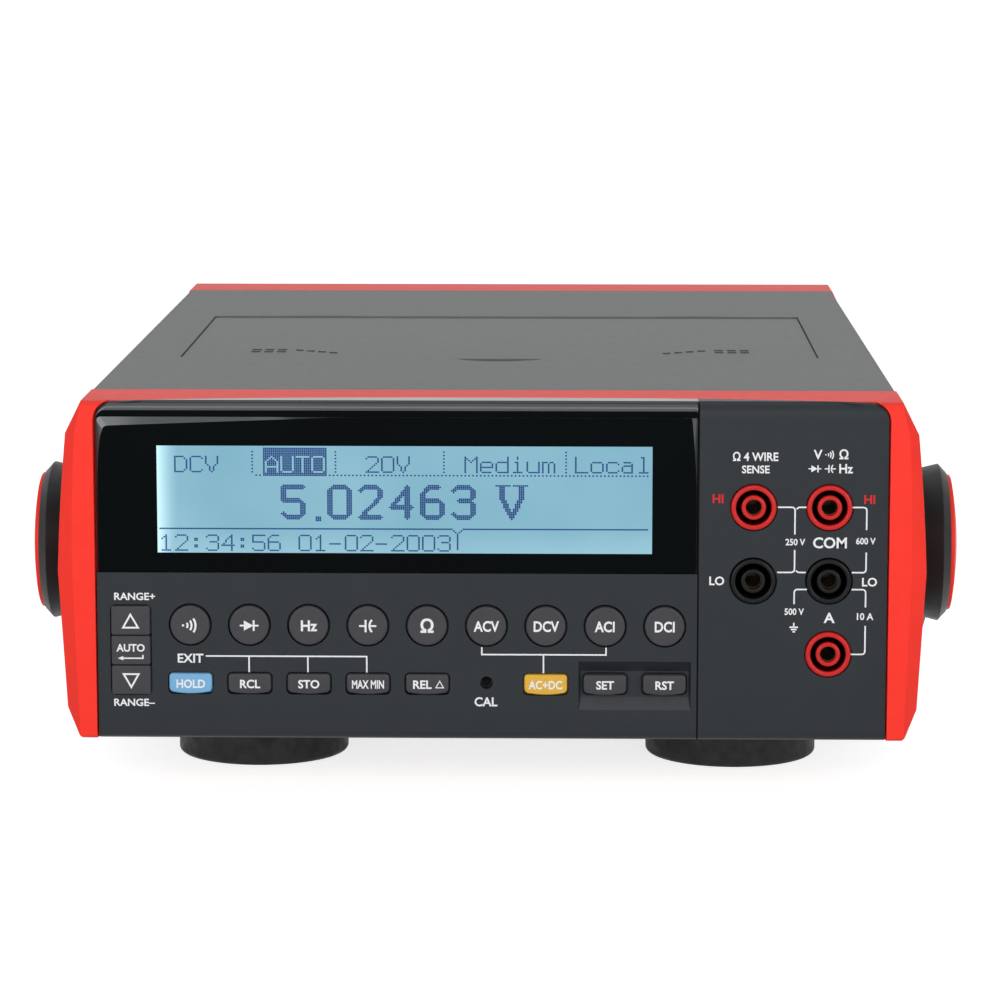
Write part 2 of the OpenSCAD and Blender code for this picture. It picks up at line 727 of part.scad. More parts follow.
module front_panel() color(panel_grey) {
    difference() {
        union() {
            front_plate(-panel_x, key_plate_x1, plate_z0, lens_z0 - seam / 2);
            block([-open_x + seam, plate_rear, lens_z0 - lens_lap],
                  [key_plate_x1, back_rear, open_z1 - seam]);
            block([-open_x + seam, plate_rear - 1, lens_z0 - lens_lap],
                  [key_plate_x1, back_rear, lens_z0 - seam / 2]);
            for (x = [-open_x + 4, key_plate_x1 - 4]) {
                rod_y(x, open_z0 + front_boss_in + front_boss_r, front_boss_r, plate_rear - 0.5,
                    board_front);
                rod_y(x, open_z1 - front_boss_in - front_boss_r, front_boss_r, back_rear - 0.5,
                    board_front);
            }
        }
        block([lcd_x0 - lcd_border - glass_gap, plate_rear - 1, lcd_z0 - lcd_border - glass_gap],
              [lcd_x1 + lcd_border + glass_gap, back_rear + 1, lcd_z1 + lcd_border + glass_gap]);
        for (i = [0:ROUND_COUNT - 1])
            rod_y(column_x(i), round_z, round_key_d / 2 + key_gap, face_y - 1, plate_rear + 1);
        for (c = OBLONG_COLUMNS) oblong_hole(column_x(c), oblong_z, oblong_w, oblong_h);
        oblong_hole(range_x, range_z, range_w, 3 * range_h + 2 * range_gap);
        pocket();
        rod_y(column_x(5), cal_z, cal_d / 2, face_y - 1, plate_rear + 1);
    }
}

module terminal_panel() color(panel_grey) {
    difference() {
        union() {
            front_plate(seam_x, panel_x, plate_z0, plate_z1);
            intersection() {
                front_plate(key_plate_x1 + seam / 4, seam_x + 1, plate_z0, plate_z1);
                along_y(plate_rear - seam_lip, plate_rear + 1)
                    polygon(plate_outline(0, panel_foot_r));
            }
        }
        for (p = JACKS) rod_y(p[0], p[1], collar_d / 2 + touch, face_y - 1, plate_rear + 1);
    }
}

module display_lens() color("#080c0e") {
    front_plate(-panel_x, key_plate_x1, lens_z0, plate_z1);
}

module lcd_module() color("#8fc0dc") {
    block([lcd_x0 - lcd_border, plate_rear + glass_gap, lcd_z0 - lcd_border],
          [lcd_x1 + lcd_border, back_rear + carrier_t, lcd_z1 + lcd_border]);
    block([lcd_x0 - lcd_border - carrier_side, back_rear, lcd_z0 - lcd_border - carrier_side],
          [lcd_x1 + lcd_border + carrier_side, back_rear + carrier_t,
           lcd_z1 + lcd_border + carrier_side]);
}

module keypad_mat() color("#77797c") {
    difference() {
        block([mat_x0, mat_front + dome_h, mat_z0], [mat_x1, board_front, mat_z1]);
        block([column_x(5) - cal_half - touch, mat_front, cal_z - cal_half - touch],
              [column_x(5) + cal_half + touch, board_front + 1, cal_z + cal_half + touch]);
    }
    for (i = [0:ROUND_COUNT - 1])
        rod_y(column_x(i), round_z, round_key_d / 2 - 2, mat_front, mat_front + mat_t);
    for (c = OBLONG_COLUMNS)
        rod_y(column_x(c), oblong_z, oblong_h / 2 - 0.4, mat_front, mat_front + mat_t);
    for (i = [0:2])
        rod_y(range_x, range_key_z(i), range_h / 2 - 1, mat_front, mat_front + mat_t);
}

module front_board() color("#2f6b45") {
    block([-open_x + 1, board_front, open_z0 + 1], [key_plate_x1, board_front + board_t, open_z1 - 1]);
}

module key_stem(x, z, w, h) {
    along_y(flange_y, key_rear)
        polygon(round_rect(x - w / 2 - key_gap - flange_out, z - h / 2 - key_gap - flange_out,
            x + w / 2 + key_gap + flange_out, z + h / 2 + key_gap + flange_out, 1.2, 3));
}

module round_key(i) color("#45484b") {
    x = column_x(i);
    translate([x, 0, round_z]) rotate([90, 0, 0]) rotate_extrude() polygon([
        [0, -key_rear], [round_key_d / 2 + key_gap + flange_out, -key_rear],
        [round_key_d / 2 + key_gap + flange_out, -flange_y], [round_key_d / 2, -flange_y],
        for (a = [0:30:90]) [round_key_d / 2 - key_edge * (1 - cos(a)), -key_face - key_edge * (1 - sin(a))],
        [0, -key_face]]);
}

// Side outline of an oblong key, in Y and Z, with a rounded top edge and a slanted lower one.
function key_side(z, h) = concat(
    [[flange_y + 1, z - h / 2 - 1], [flange_y + 1, z + h / 2 + 1], [key_face + key_edge, z + h / 2 + 1]],
    [for (a = [0:30:90])
        [key_face + key_edge * (1 - sin(a)), z + h / 2 - key_edge * (1 - cos(a))]],
    [[key_face, z - h / 2 + 2 * key_edge], [key_face + key_edge, z - h / 2],
     [key_face + key_edge, z - h / 2 - 1]]);

module oblong_key(i) {
    x = column_x(OBLONG_COLUMNS[i]);
    color(i == 0 ? "#73a8d0" : i == 5 ? "#deaa3c" : "#3d4043") {
        intersection() {
            along_y(key_face, flange_y + eps)
                polygon(round_rect(x - oblong_w / 2, oblong_z - oblong_h / 2, x + oblong_w / 2,
                    oblong_z + oblong_h / 2, 1, 3));
            along_x(x - oblong_w / 2 - 1, x + oblong_w / 2 + 1)
                polygon(key_side(oblong_z, oblong_h));
        }
        key_stem(x, oblong_z, oblong_w, oblong_h);
    }
}

module range_key(i) color("#4a4d50") {
    z = range_key_z(i);
    along_y(key_face, key_rear)
        polygon(round_rect(range_x - range_w / 2, z - range_h / 2, range_x + range_w / 2,
            z + range_h / 2, 0.5, 2));
    block([range_x - range_w / 2 - key_gap - flange_out, flange_y, z - range_h / 2],
          [range_x + range_w / 2 + key_gap + flange_out, key_rear, z + range_h / 2]);
}

module cal_switch() color(black) {
    difference() {
        block([column_x(5) - cal_half, board_front - cal_t, cal_z - cal_half],
              [column_x(5) + cal_half, board_front, cal_z + cal_half]);
        rod_y(column_x(5), cal_z, cal_r + run_fit, board_front - cal_t - 1, board_front - cal_seat);
    }
}

module cal_button() color("#c9c9c4") {
    rod_y(column_x(5), cal_z, cal_r, plate_rear + touch, board_front - cal_seat - cal_travel - 0.1);
}

// ---- jacks ----

JACKS = [[jack_x[0], jack_z[2]], [jack_x[1], jack_z[2]], [jack_x[0], jack_z[1]],
    [jack_x[1], jack_z[1]], [jack_x[1], jack_z[0]]];

// Half section of a jack's insulator: collar, deep ring-shaped gap for the plug's shroud, tube.
module jack(p, paint) color(paint) {
    groove = jack_face + jack_groove;
    tube_face = jack_face + tube_back;
    translate([p[0], 0, p[1]]) rotate([90, 0, 0]) rotate_extrude() polygon([
        [plug_d / 2 + sleeve_t, -jack_rear], [collar_d / 2 - 0.6, -jack_rear],
        [collar_d / 2 - 0.6, -plate_rear - jack_flange_t], [jack_flange_r, -plate_rear - jack_flange_t],
        [jack_flange_r, -plate_rear], [collar_d / 2, -plate_rear],
        for (a = [0:30:90])
            [collar_d / 2 - jack_edge * (1 - cos(a)), -jack_face - jack_edge * (1 - sin(a))],
        [collar_bore / 2 + jack_edge, -jack_face], [collar_bore / 2, -jack_face - jack_edge],
        [collar_bore / 2, -groove], [tube_d / 2, -groove],
        [tube_d / 2, -tube_face - jack_edge], [tube_d / 2 - jack_edge, -tube_face],
        [plug_d / 2 + tube_back, -tube_face], [plug_d / 2, -tube_face - tube_back],
        [plug_d / 2, -sleeve_front], [plug_d / 2 + sleeve_t, -sleeve_front]]);
}

module jack_contacts() color("#c9a24a") {
    for (p = JACKS) difference() {
        union() {
            rod_y(p[0], p[1], plug_d / 2 + sleeve_t, sleeve_front, sleeve_rear);
            rod_y(p[0], p[1], tail_r, sleeve_rear - 1, sleeve_rear + tail_l);
        }
        rod_y(p[0], p[1], plug_d / 2, sleeve_front - 1, sleeve_rear - 1);
    }
}

module input_board() color("#2f6b45") {
    difference() {
        block([seam_x + 3, sleeve_rear, jack_z[0] - 9], [open_x - 1, sleeve_rear + board_t, jack_z[2] + 9]);
        for (p = JACKS)
            rod_y(p[0], p[1], tail_r + tail_gap, sleeve_rear - 1, sleeve_rear + board_t + 1);
    }
}

// ---- lid ----

module storage_lid() color(case_grey) {
    difference() {
        union() {
            block([-lid_x, lid_y0, lid_under], [lid_x, axis_y, lid_top]);
            rod_x(axis_y, axis_z, lid_edge_r, -lid_x, lid_x);
        }
        rod_x(axis_y, axis_z, hinge_pin_d / 2 + run_fit, -lid_x - 1, -lid_x + pin_in_lid + 0.2);
        rod_x(axis_y, axis_z, hinge_pin_d / 2 + run_fit, lid_x - pin_in_lid - 0.2, lid_x + 1);
    }
}

module lid_hinge_pins() color("#b9bcc0") {
    rod_x(axis_y, axis_z, hinge_pin_d / 2, -lid_x - hinge_pin_l + pin_in_lid, -lid_x + pin_in_lid);
    rod_x(axis_y, axis_z, hinge_pin_d / 2, lid_x - pin_in_lid, lid_x + hinge_pin_l - pin_in_lid);
}

// ---- handle ----

// Turns a piece drawn with the handle reaching along +Y into its stowed place.
module at_hub() {
    translate([0, hub_y, hub_z]) rotate([-stow_angle, 0, 0]) children();
}

module hub_disc() {
    rotate([0, 90, 0]) rotate_extrude() polygon([
        [pivot_d / 2 + run_fit, arm_x0], [hub_base_r, arm_x0], [hub_r, hub_ridge],
        [hub_rim_r, hub_x1], [cap_r + cap_fit, hub_x1], [cap_r + cap_fit, cap_x0],
        [head_r + 0.4, cap_x0], [head_r + 0.4, head_x0 - 0.3], [pivot_d / 2 + run_fit, head_x0 - 0.3]]);
}

module arm() {
    reach = grip_reach + grip_t / 2;
    difference() {
        along_x(arm_x0, arm_x1) polygon([
            [0, -hub_r + 2.5], [reach, -arm_end_r], [reach, arm_end_r], [0, hub_r - 2.5]]);
        rod_x(0, 0, hub_base_r - 0.5, arm_x0 - 1, arm_x1 + 1);
    }
}

module handle() color(black) at_hub() {
    reach = grip_reach + grip_t / 2;
    difference() {
        union() {
            for (s = [0, 1]) mirror([s, 0, 0]) { hub_disc(); arm(); }
            along_x(-arm_x1, arm_x1) polygon(round_rect(grip_reach - grip_t / 2, -grip_w / 2,
                reach, grip_w / 2, 3.5, 4));
        }
        for (s = [0, 1]) mirror([s, 0, 0])
            translate([arm_x1 - handle_corner, reach - handle_corner, -hub_r]) difference() {
                cube([handle_corner + 1, handle_corner + 1, 2 * hub_r]);
                translate([0, 0, -1]) cylinder(r = handle_corner, h = 2 * hub_r + 2);
            }
    }
}

module handle_caps() color(bezel_red) at_hub() {
    dome = (cap_r * cap_r + cap_rise * cap_rise) / (2 * cap_rise);
    for (s = [0, 1]) mirror([s, 0, 0]) {
        rod_x(0, 0, cap_r, cap_x0, hub_x1 + eps);
        intersection() {
            translate([hub_x1 + cap_rise - dome, 0, 0]) rotate([0, 90, 0])
                rotate_extrude() intersection() {
                    circle(r = dome, $fn = 200);
                    square([dome, dome]);
                }
            rod_x(0, 0, cap_r, hub_x1 - eps, hub_x1 + cap_rise + 1);
        }
    }
}

module handle_pivots() color("#b9bcc0") {
    for (s = [0, 1]) mirror([s, 0, 0]) {
        rod_x(hub_y, hub_z, head_r, head_x0, head_x0 + head_t);
        rod_x(hub_y, hub_z, pivot_d / 2, boss_x1, head_x0 + eps);
        rod_x(hub_y, hub_z, thread_r, boss_x1 - thread_l, boss_x1 + eps);
    }
}

// ---- feet and screws ----

module feet() color(black) {
    for (sx = [-1, 1], y = [front_y + foot_in, rear_y - foot_in])
        translate([sx * foot_x, y, 0]) rotate_extrude() polygon([
            [4.5, 2], [foot_r - 4, 2], [foot_r - 4, 0], [foot_r - 0.8, 0], [foot_r, 0.8],
            [foot_r, foot_h - 2.4], [foot_r - 1, foot_h - 2.4], [foot_r - 1, foot_h],
            [2.3, foot_h], [2.3, 6], [4.5, 6]]);
}

module case_screws() color("#8d9094") {
    for (s = [-1, 1], y = screw_y) translate([s * screw_x, y, base_z + screw_sink - screw_head_t]) {
        cylinder(r = screw_head_r, h = screw_head_t);
        cylinder(r = screw_d / 2, h = screw_up - base_z - screw_sink + screw_head_t);
    }
}

// ---- inside ----

module main_board() color("#2f6b45") {
    block([-board_x, board_y0, board_z], [board_x, board_y1, board_z + board_t]);
}

module board_relays() color("#2a4f7a") {
    for (i = [0:3])
        translate([board_x - relay_in + i * relay_pitch, board_y0 + relay_l, board_z + board_t])
            cube([relay_w, relay_l, relay_h]);
}

module filter_capacitors() color("#26282c") {
    for (i = [0:2])
        translate([-board_x + can_in + i * can_pitch, board_y1 - can_h, board_z + board_t])
            cylinder(r = can_r, h = can_h);
}

module transformer_core() color("#6c6f73") {
    translate([core_x, core_y, core_z]) difference() {
        block([-core_w / 2, -core_stack / 2, 0], [core_w / 2, core_stack / 2, core_h]);
        for (s = [-1, 1])
            block([s * 1.5 * leg - leg / 2, -core_stack / 2 - 1, leg],
                  [s * 1.5 * leg + leg / 2, core_stack / 2 + 1, core_h - leg]);
    }
}

module transformer_coil() color("#b98a3a") {
    translate([core_x, core_y, core_z]) difference() {
        block([-2 * leg + coil_gap, -core_stack / 2 - leg + 1, leg + coil_gap],
              [2 * leg - coil_gap, core_stack / 2 + leg - 1, core_h - leg - coil_gap]);
        block([-leg - coil_gap, -core_stack / 2 - coil_gap, 0],
              [leg + coil_gap, core_stack / 2 + coil_gap, core_h]);
    }
}

// ---- rear ----

// A square cut-out in the rear panel, round x and z.
module port_cut(x, z, hw, hh) {
    block([x - hw, rear_plate_y - 1, z - hh], [x + hw, rear_face + 1, z + hh]);
}

module rear_panel() color(panel_grey) {
    difference() {
        along_y(rear_plate_y, rear_face)
            polygon(round_rect(-rear_x, rear_z0, rear_x, rear_z1, panel_r - seam));
        port_cut(inlet_x, inlet_z, inlet_w / 2 + inlet_fit, inlet_hh / 2 + inlet_fit);
        port_cut(switch_x, ports_z, frame_w / 2 - frame_lip + inlet_fit,
            frame_h / 2 - frame_lip + inlet_fit);
        port_cut(-serial_x, ports_z, plug_half + plug_slant + inlet_fit, plug_hh + inlet_fit);
        for (i = [-5:5])
            along_y(rear_plate_y - 1, rear_face + 1)
                polygon(round_rect(i * vent_pitch - vent_w / 2, rear_vent_z - rear_vent_half,
                    i * vent_pitch + vent_w / 2, rear_vent_z + rear_vent_half, vent_w / 2 - eps, 3));
    }
}

function socket_outline() = let (w = socket_w / 2, h = socket_h / 2, c = socket_cut)
    [[inlet_x - w, inlet_z + socket_up - h], [inlet_x + w, inlet_z + socket_up - h],
     [inlet_x + w, inlet_z + socket_up + h - c], [inlet_x + w - c, inlet_z + socket_up + h],
     [inlet_x - w + c, inlet_z + socket_up + h], [inlet_x - w, inlet_z + socket_up + h - c]];

inlet_face = rear_face + inlet_flange_t;

module mains_inlet() color(black) {
    difference() {
        union() {
            along_y(rear_face, inlet_face)
                polygon(round_rect(inlet_x - inlet_w / 2 - inlet_flange,
                    inlet_z - inlet_hh / 2 - inlet_flange, inlet_x + inlet_w / 2 + inlet_flange,
                    inlet_z + inlet_hh / 2 + inlet_flange, 2, 3));
            block([inlet_x - inlet_w / 2, rear_face - inlet_deep, inlet_z - inlet_hh / 2],
                  [inlet_x + inlet_w / 2, rear_face + eps, inlet_z + inlet_hh / 2]);
        }
        along_y(inlet_face - socket_deep, inlet_face + 1) polygon(socket_outline());
        block([inlet_x - drawer_w / 2 - touch, inlet_face - drawer_deep - touch,
               inlet_z - drawer_down - drawer_h / 2 - touch],
              [inlet_x + drawer_w / 2 + touch, inlet_face + 1,
               inlet_z - drawer_down + drawer_h / 2 + touch]);
    }
}

module inlet_pins() color("#c9cbcf") {
    for (p = [[-pin_dx, -2], [pin_dx, -2], [0, 2]])
        block([inlet_x + p[0] - pin_w / 2, inlet_face - socket_deep, inlet_z + socket_up + p[1] - pin_h / 2],
              [inlet_x + p[0] + pin_w / 2, inlet_face - socket_deep + pin_out,
               inlet_z + socket_up + p[1] + pin_h / 2]);
}

module fuse_drawer() color(black) {
    z = inlet_z - drawer_down;
    difference() {
        block([inlet_x - drawer_w / 2, inlet_face - drawer_deep, z - drawer_h / 2],
              [inlet_x + drawer_w / 2, inlet_face + drawer_face, z + drawer_h / 2]);
        for (s = [-1, 1])
            block([inlet_x + s * fuse_dx - fuse_r - touch, inlet_face - drawer_deep + drawer_end,
                   z - fuse_r - touch],
                  [inlet_x + s * fuse_dx + fuse_r + touch, inlet_face - drawer_end, z + drawer_h]);
    }
}

module mains_fuses() color("#d8dcde") {
    for (s = [-1, 1])
        rod_y(inlet_x + s * fuse_dx, inlet_z - drawer_down - touch, fuse_r,
            inlet_face - drawer_deep + 0.8, inlet_face - drawer_deep + 0.8 + fuse_l);
}

module power_switch_frame() color(black) {
    difference() {
        union() {
            along_y(rear_face, rear_face + frame_face)
                polygon(round_rect(switch_x - frame_w / 2, ports_z - frame_h / 2, switch_x + frame_w / 2,
                    ports_z + frame_h / 2, 1, 3));
            block([switch_x - frame_w / 2 + frame_lip, rear_face - frame_deep,
                   ports_z - frame_h / 2 + frame_lip],
                  [switch_x + frame_w / 2 - frame_lip, rear_face + eps,
                   ports_z + frame_h / 2 - frame_lip]);
        }
        block([switch_x - rocker_w / 2 - touch, rear_face - rocker_in - rocker_back - rocker_room,
               ports_z - rocker_h / 2 - touch],
              [switch_x + rocker_w / 2 + touch, rear_face + 2, ports_z + rocker_h / 2 + touch]);
    }
}

// The rocker turns on an axis across its middle, a little below its face.
rocker_axis_y = rear_face - rocker_in;
module power_rocker() color("#2b2c2e") {
    translate([switch_x, rocker_axis_y, ports_z]) rotate([rocker_tilt, 0, 0]) intersection() {
        rod_x(0, 0, rocker_h / 2 - 0.5, -rocker_w / 2, rocker_w / 2);
        block([-rocker_w / 2, -rocker_back, -rocker_h / 2], [rocker_w / 2, rocker_front, rocker_h / 2]);
    }
}

module serial_connector() color("#b9bcc0") {
    along_y(rear_face, rear_face + serial_t)
        polygon(round_rect(-serial_x - flange_half, ports_z - flange_hh, -serial_x + flange_half,
            ports_z + flange_hh, 1, 3));
    along_y(rear_face - plug_deep, rear_face + plug_out) polygon([
        [-serial_x - plug_half, ports_z - plug_hh], [-serial_x + plug_half, ports_z - plug_hh],
        [-serial_x + plug_half + plug_slant, ports_z + plug_hh],
        [-serial_x - plug_half - plug_slant, ports_z + plug_hh]]);
}

top_cover();
bottom_case();
front_bezel();
rear_bezel();
front_panel();
terminal_panel();
display_lens();
lcd_module();
keypad_mat();
front_board();
input_board();
main_board();
board_relays();
filter_capacitors();
transformer_core();
transformer_coil();
rear_panel();
mains_inlet();
inlet_pins();
fuse_drawer();
mains_fuses();
power_switch_frame();
power_rocker();
serial_connector();
jack(JACKS[0], bezel_red);  // jack_sense_hi
jack(JACKS[1], bezel_red);  // jack_input_hi
jack(JACKS[2], black);  // jack_sense_lo
jack(JACKS[3], black);  // jack_input_lo
jack(JACKS[4], bezel_red);  // jack_current
jack_contacts();
cal_switch();
cal_button();
storage_lid();
lid_hinge_pins();
handle();
handle_caps();
handle_pivots();
feet();
case_screws();
for (i = [0:ROUND_COUNT - 1])
    round_key(i);
for (i = [0:OBLONG_COUNT - 1])
    oblong_key(i);
for (i = [0:2])
    range_key(i);
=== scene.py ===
"""Dresses the packed bench multimeter: plastics, keys, jacks, display, legends and stage."""

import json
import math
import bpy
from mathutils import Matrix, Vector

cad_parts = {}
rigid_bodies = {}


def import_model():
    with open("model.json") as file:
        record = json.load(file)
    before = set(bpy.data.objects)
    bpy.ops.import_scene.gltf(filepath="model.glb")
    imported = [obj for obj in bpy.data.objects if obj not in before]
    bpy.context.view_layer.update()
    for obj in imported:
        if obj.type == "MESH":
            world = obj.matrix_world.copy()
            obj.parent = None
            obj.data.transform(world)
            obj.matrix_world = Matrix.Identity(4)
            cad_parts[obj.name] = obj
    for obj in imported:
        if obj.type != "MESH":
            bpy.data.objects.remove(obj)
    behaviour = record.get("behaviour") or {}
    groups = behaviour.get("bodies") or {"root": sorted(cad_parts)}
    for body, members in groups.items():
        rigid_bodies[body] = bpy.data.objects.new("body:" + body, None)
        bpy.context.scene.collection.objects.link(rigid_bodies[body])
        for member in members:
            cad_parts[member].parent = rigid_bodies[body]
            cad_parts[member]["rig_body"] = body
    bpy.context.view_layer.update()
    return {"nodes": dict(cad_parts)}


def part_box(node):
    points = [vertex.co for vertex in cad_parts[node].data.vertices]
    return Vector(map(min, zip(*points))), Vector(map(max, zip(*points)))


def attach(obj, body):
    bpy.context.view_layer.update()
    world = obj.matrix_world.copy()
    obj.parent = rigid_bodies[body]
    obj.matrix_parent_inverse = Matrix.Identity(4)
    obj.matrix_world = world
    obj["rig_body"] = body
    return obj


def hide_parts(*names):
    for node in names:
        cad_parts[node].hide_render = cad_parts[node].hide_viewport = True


bl_info = {
    "name": "Bench Multimeter",
    "version": (1, 0, 0),
    "blender": (4, 5, 0),
    "location": "3D View > Sidebar > Bench Meter",
    "description": "Makes the visible pieces of a bench multimeter on its packed frame",
    "category": "Object",
}

import bmesh
import bpy
import numpy as np
from bpy.props import FloatProperty, FloatVectorProperty, IntProperty, PointerProperty

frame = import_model()
MM = 0.001


def span(node):
    """Lowest and highest corner of a CAD node, in millimetres, as two arrays."""
    low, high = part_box(node)
    return np.array(low) / MM, np.array(high) / MM


def centre_of(node):
    """Middle of a CAD node's box, in millimetres."""
    return sum(span(node)) / 2


def body_of(node):
    """Name of the body that carries a CAD node."""
    return frame["nodes"][node]["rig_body"]


LENS_LOW, LENS_HIGH = span("display_lens")
TERMINAL_LOW, TERMINAL_HIGH = span("terminal_panel")
FACE_Y = TERMINAL_LOW[1]
# How far a print or a raised mark reaches down into what it stands on.
SINK = 0.1
# Thickness of the flange by which a key is held behind its plate.
FLANGE = 1

# Words of each round key with their height and squeeze, or its symbol with 0 and the symbol's scale.
ROUND_KEYS = {
    "continuity": ("continuity", 0, 1.02), "diode": ("diode", 0, 1.05), "frequency": ("Hz", 2.5, 0.96),
    "capacitance": ("capacitor", 0, 1.1), "resistance": ("Ω", 3.1, 1.0),
    "ac_volts": ("ACV", 2.45, 0.84), "dc_volts": ("DCV", 2.45, 0.84),
    "ac_current": ("ACI", 2.45, 0.84), "dc_current": ("DCI", 2.45, 0.84),
}
# Words of each oblong key and their squeeze.
OBLONG_KEYS = {
    "hold": ("HOLD", 0.9), "recall": ("RCL", 0.98), "store": ("STO", 0.98), "max_min": ("MAX MIN", 0.66),
    "relative": ("REL", 1.02), "ac_plus_dc": ("AC+DC", 0.84), "set": ("SET", 0.98),
    "reset": ("RST", 0.98),
}
RANGE_KEYS = {"range_down": ("down",), "auto": ("AUTO",), "range_up": ("up",)}
KEY_COLOURS = {"hold": "key_blue", "ac_plus_dc": "key_amber"}
JACKS = {"sense_hi": "red", "input_hi": "red", "sense_lo": "black", "input_lo": "black", "current": "red"}
# Nodes that get a rounded copy: the copy's name and its finish, with the width of its rounding and the
# angle above which an edge stays sharp where they aren't the usual ones of dressed().
ROUNDED = {
    "front_bezel": ("bezel_front", "bezel", 0, 22), "rear_bezel": ("bezel_back", "bezel", 0, 22),
    "top_cover": ("cover_shell", "case", 0), "bottom_case": ("base_shell", "case", 0),
    "front_panel": ("key_plate", "panel"), "terminal_panel": ("terminal_plate", "panel"),
    "cal_button": ("cal_pin", "cal_black", 0.15), "feet": ("foot_discs", "foot", 0.6),
    "rear_panel": ("back_plate", "panel"), "mains_inlet": ("inlet_block", "black"),
    "fuse_drawer": ("fuse_tray", "black"), "power_switch_frame": ("switch_frame", "black"),
    "power_rocker": ("switch_rocker", "black"), "serial_connector": ("serial_shell", "plated"),
}
# Nodes that keep their mesh and get a finish.
PAINTED = {
    "lcd_module": "lcd", "jack_contacts": "contact", "handle_pivots": "plated", "case_screws": "screw",
    "inlet_pins": "plated", "mains_fuses": "fuse_glass", "keypad_mat": "keypad", "front_board": "board",
    "input_board": "board", "main_board": "board", "board_relays": "relay", "cal_switch": "black",
    "filter_capacitors": "capacitor", "transformer_core": "core", "transformer_coil": "winding",
    "lid_hinge_pins": "plated",
}


# ---- settings ----


def rgb(*levels):
    """A display colour from levels of 0 to 255."""
    return tuple(v / 255 for v in levels)


def colour(what, *levels):
    """A display colour from levels of 0 to 255 that the user can change."""
    return FloatVectorProperty(name=what[0].upper() + what[1:], description="Colour of the " + what,
                               default=rgb(*levels), size=3, min=0, max=1, subtype="COLOR_GAMMA")


def number(label, text, value, low=0.0, high=1000.0, **more):
    """A number that the user can change."""
    return FloatProperty(name=label, description=text, default=value, min=low, max=high, **more)


def length(label, text, value, low, high):
    """A length in millimetres, kept in metres."""
    return number(label, text, value * MM, low * MM, high * MM, unit="LENGTH", precision=5)


class CaseSettings(bpy.types.PropertyGroup):
    """Plastics of the case, the bezels and the panels."""

    case: colour("case shells and lid", 104, 106, 106)
    bezel: colour("bezels and the handle's caps", 253, 61, 50)
    panel: colour("front and rear panels", 42, 46, 50)
    handle: colour("handle", 17, 16, 17)
    rubber: colour("feet", 14, 15, 17)
    edge: length("Edges", "Rounding of the case's edges", 0.2, 0.05, 1)
    grain: length("Grain", "Size of the case's moulded grain", 0.7, 0.2, 3)


class KeySettings(bpy.types.PropertyGroup):
    """Front keys and jacks."""

    plain: colour("plain keys", 61, 61, 65)
    blue: colour("hold key", 118, 172, 212)
    amber: colour("AC plus DC key", 220, 172, 62)
    red: colour("red jacks", 200, 34, 32)
    black: colour("black jacks", 12, 13, 14)
    gap: length("Gap", "Gap between a key and its hole", 0.35, 0.1, 1)
    flange: length("Flange", "Overlap of a key's flange behind the plate", 0.4, 0.1, 1)
    edge: length("Edge", "Rounding of the keys' front edges", 0.5, 0.1, 1.5)


class DisplaySettings(bpy.types.PropertyGroup):
    """The dot display and its lens."""

    lens: colour("glossy lens", 3, 7, 9)
    # Painted sheen: the rim colour greys the black lens's rolled edge and step as if they caught light, and
    # the hollow's colour is that sheen darkened as painted shade under the lip.
    rim: colour("lens's rolled edge and facets", 64, 69, 71)
    hollow_sheen_and_shade: colour("hollow under the lens's lip", 44, 49, 51)
    light: colour("display between its dots", 125, 177, 197)
    glow: colour("display near its lamps", 204, 244, 255)
    dot: colour("dark dots", 12, 38, 94)
    columns: IntProperty(name="Columns", description="Dots across the display", default=256, min=32)
    rows: IntProperty(name="Rows", description="Dots down the display", default=64, min=16)
    border: length("Border", "Border of the glass round the visible area", 2.2, 0.5, 4)
    fill: number("Dot size", "Share of its cell that a dot fills", 0.86, 0.3, 0.98, subtype="FACTOR")


class LegendSettings(bpy.types.PropertyGroup):
    """Printed legends."""

    white: colour("white print", 232, 234, 236)
    red: colour("red print", 214, 40, 40)
    proud: length("Print", "Thickness of the print on its surface", 0.03, 0.01, 0.1)
    line: length("Line", "Width of the thin printed lines", 0.38, 0.1, 1)


class StageSettings(bpy.types.PropertyGroup):
    """Floor, lamps and camera."""

    lens: number("Focal length", "Focal length of the camera", 140.67, 20, 300, unit="CAMERA")
    place: FloatVectorProperty(
        name="Camera", description="Place of the camera", default=(0.022036, -1.136829, 0.231068),
        size=3, unit="LENGTH", subtype="TRANSLATION")
    turn: FloatVectorProperty(
        name="Camera turn", description="Rotation of the camera",
        default=(math.radians(81.2527), 0, math.radians(1.1527)), size=3, subtype="EULER")
    overhead: number("Overhead", "Power of the overhead softbox", 2.5, unit="POWER")
    front: number("Front", "Power of each front softbox", 10, unit="POWER")
    brow: number("Brow", "Power of the softbox above the camera", 5, unit="POWER")
    sky: number("Room", "Brightness of the room round the object", 0.3, high=1)


# ---- materials ----


def linear(shade):
    """Scene-linear colour of a display colour, by the usual two-part transfer curve."""
    c = np.asarray(shade, float)[:3]
    out = np.where(c <= 0.04045, c / 12.92, ((c + 0.055) / 1.055) ** 2.4)
    return (*out.tolist(), 1.0)


def add_node(tree, kind, inputs=(), **settings):
    """Adds a node to a tree, sets its properties, and fills or links its inputs."""
    made = tree.nodes.new(kind)
    for key, value in settings.items():
        setattr(made, key, value)
    for key, value in dict(inputs).items():
        if isinstance(value, bpy.types.NodeSocket):
            tree.links.new(value, made.inputs[key])
        else:
            made.inputs[key].default_value = value
    return made


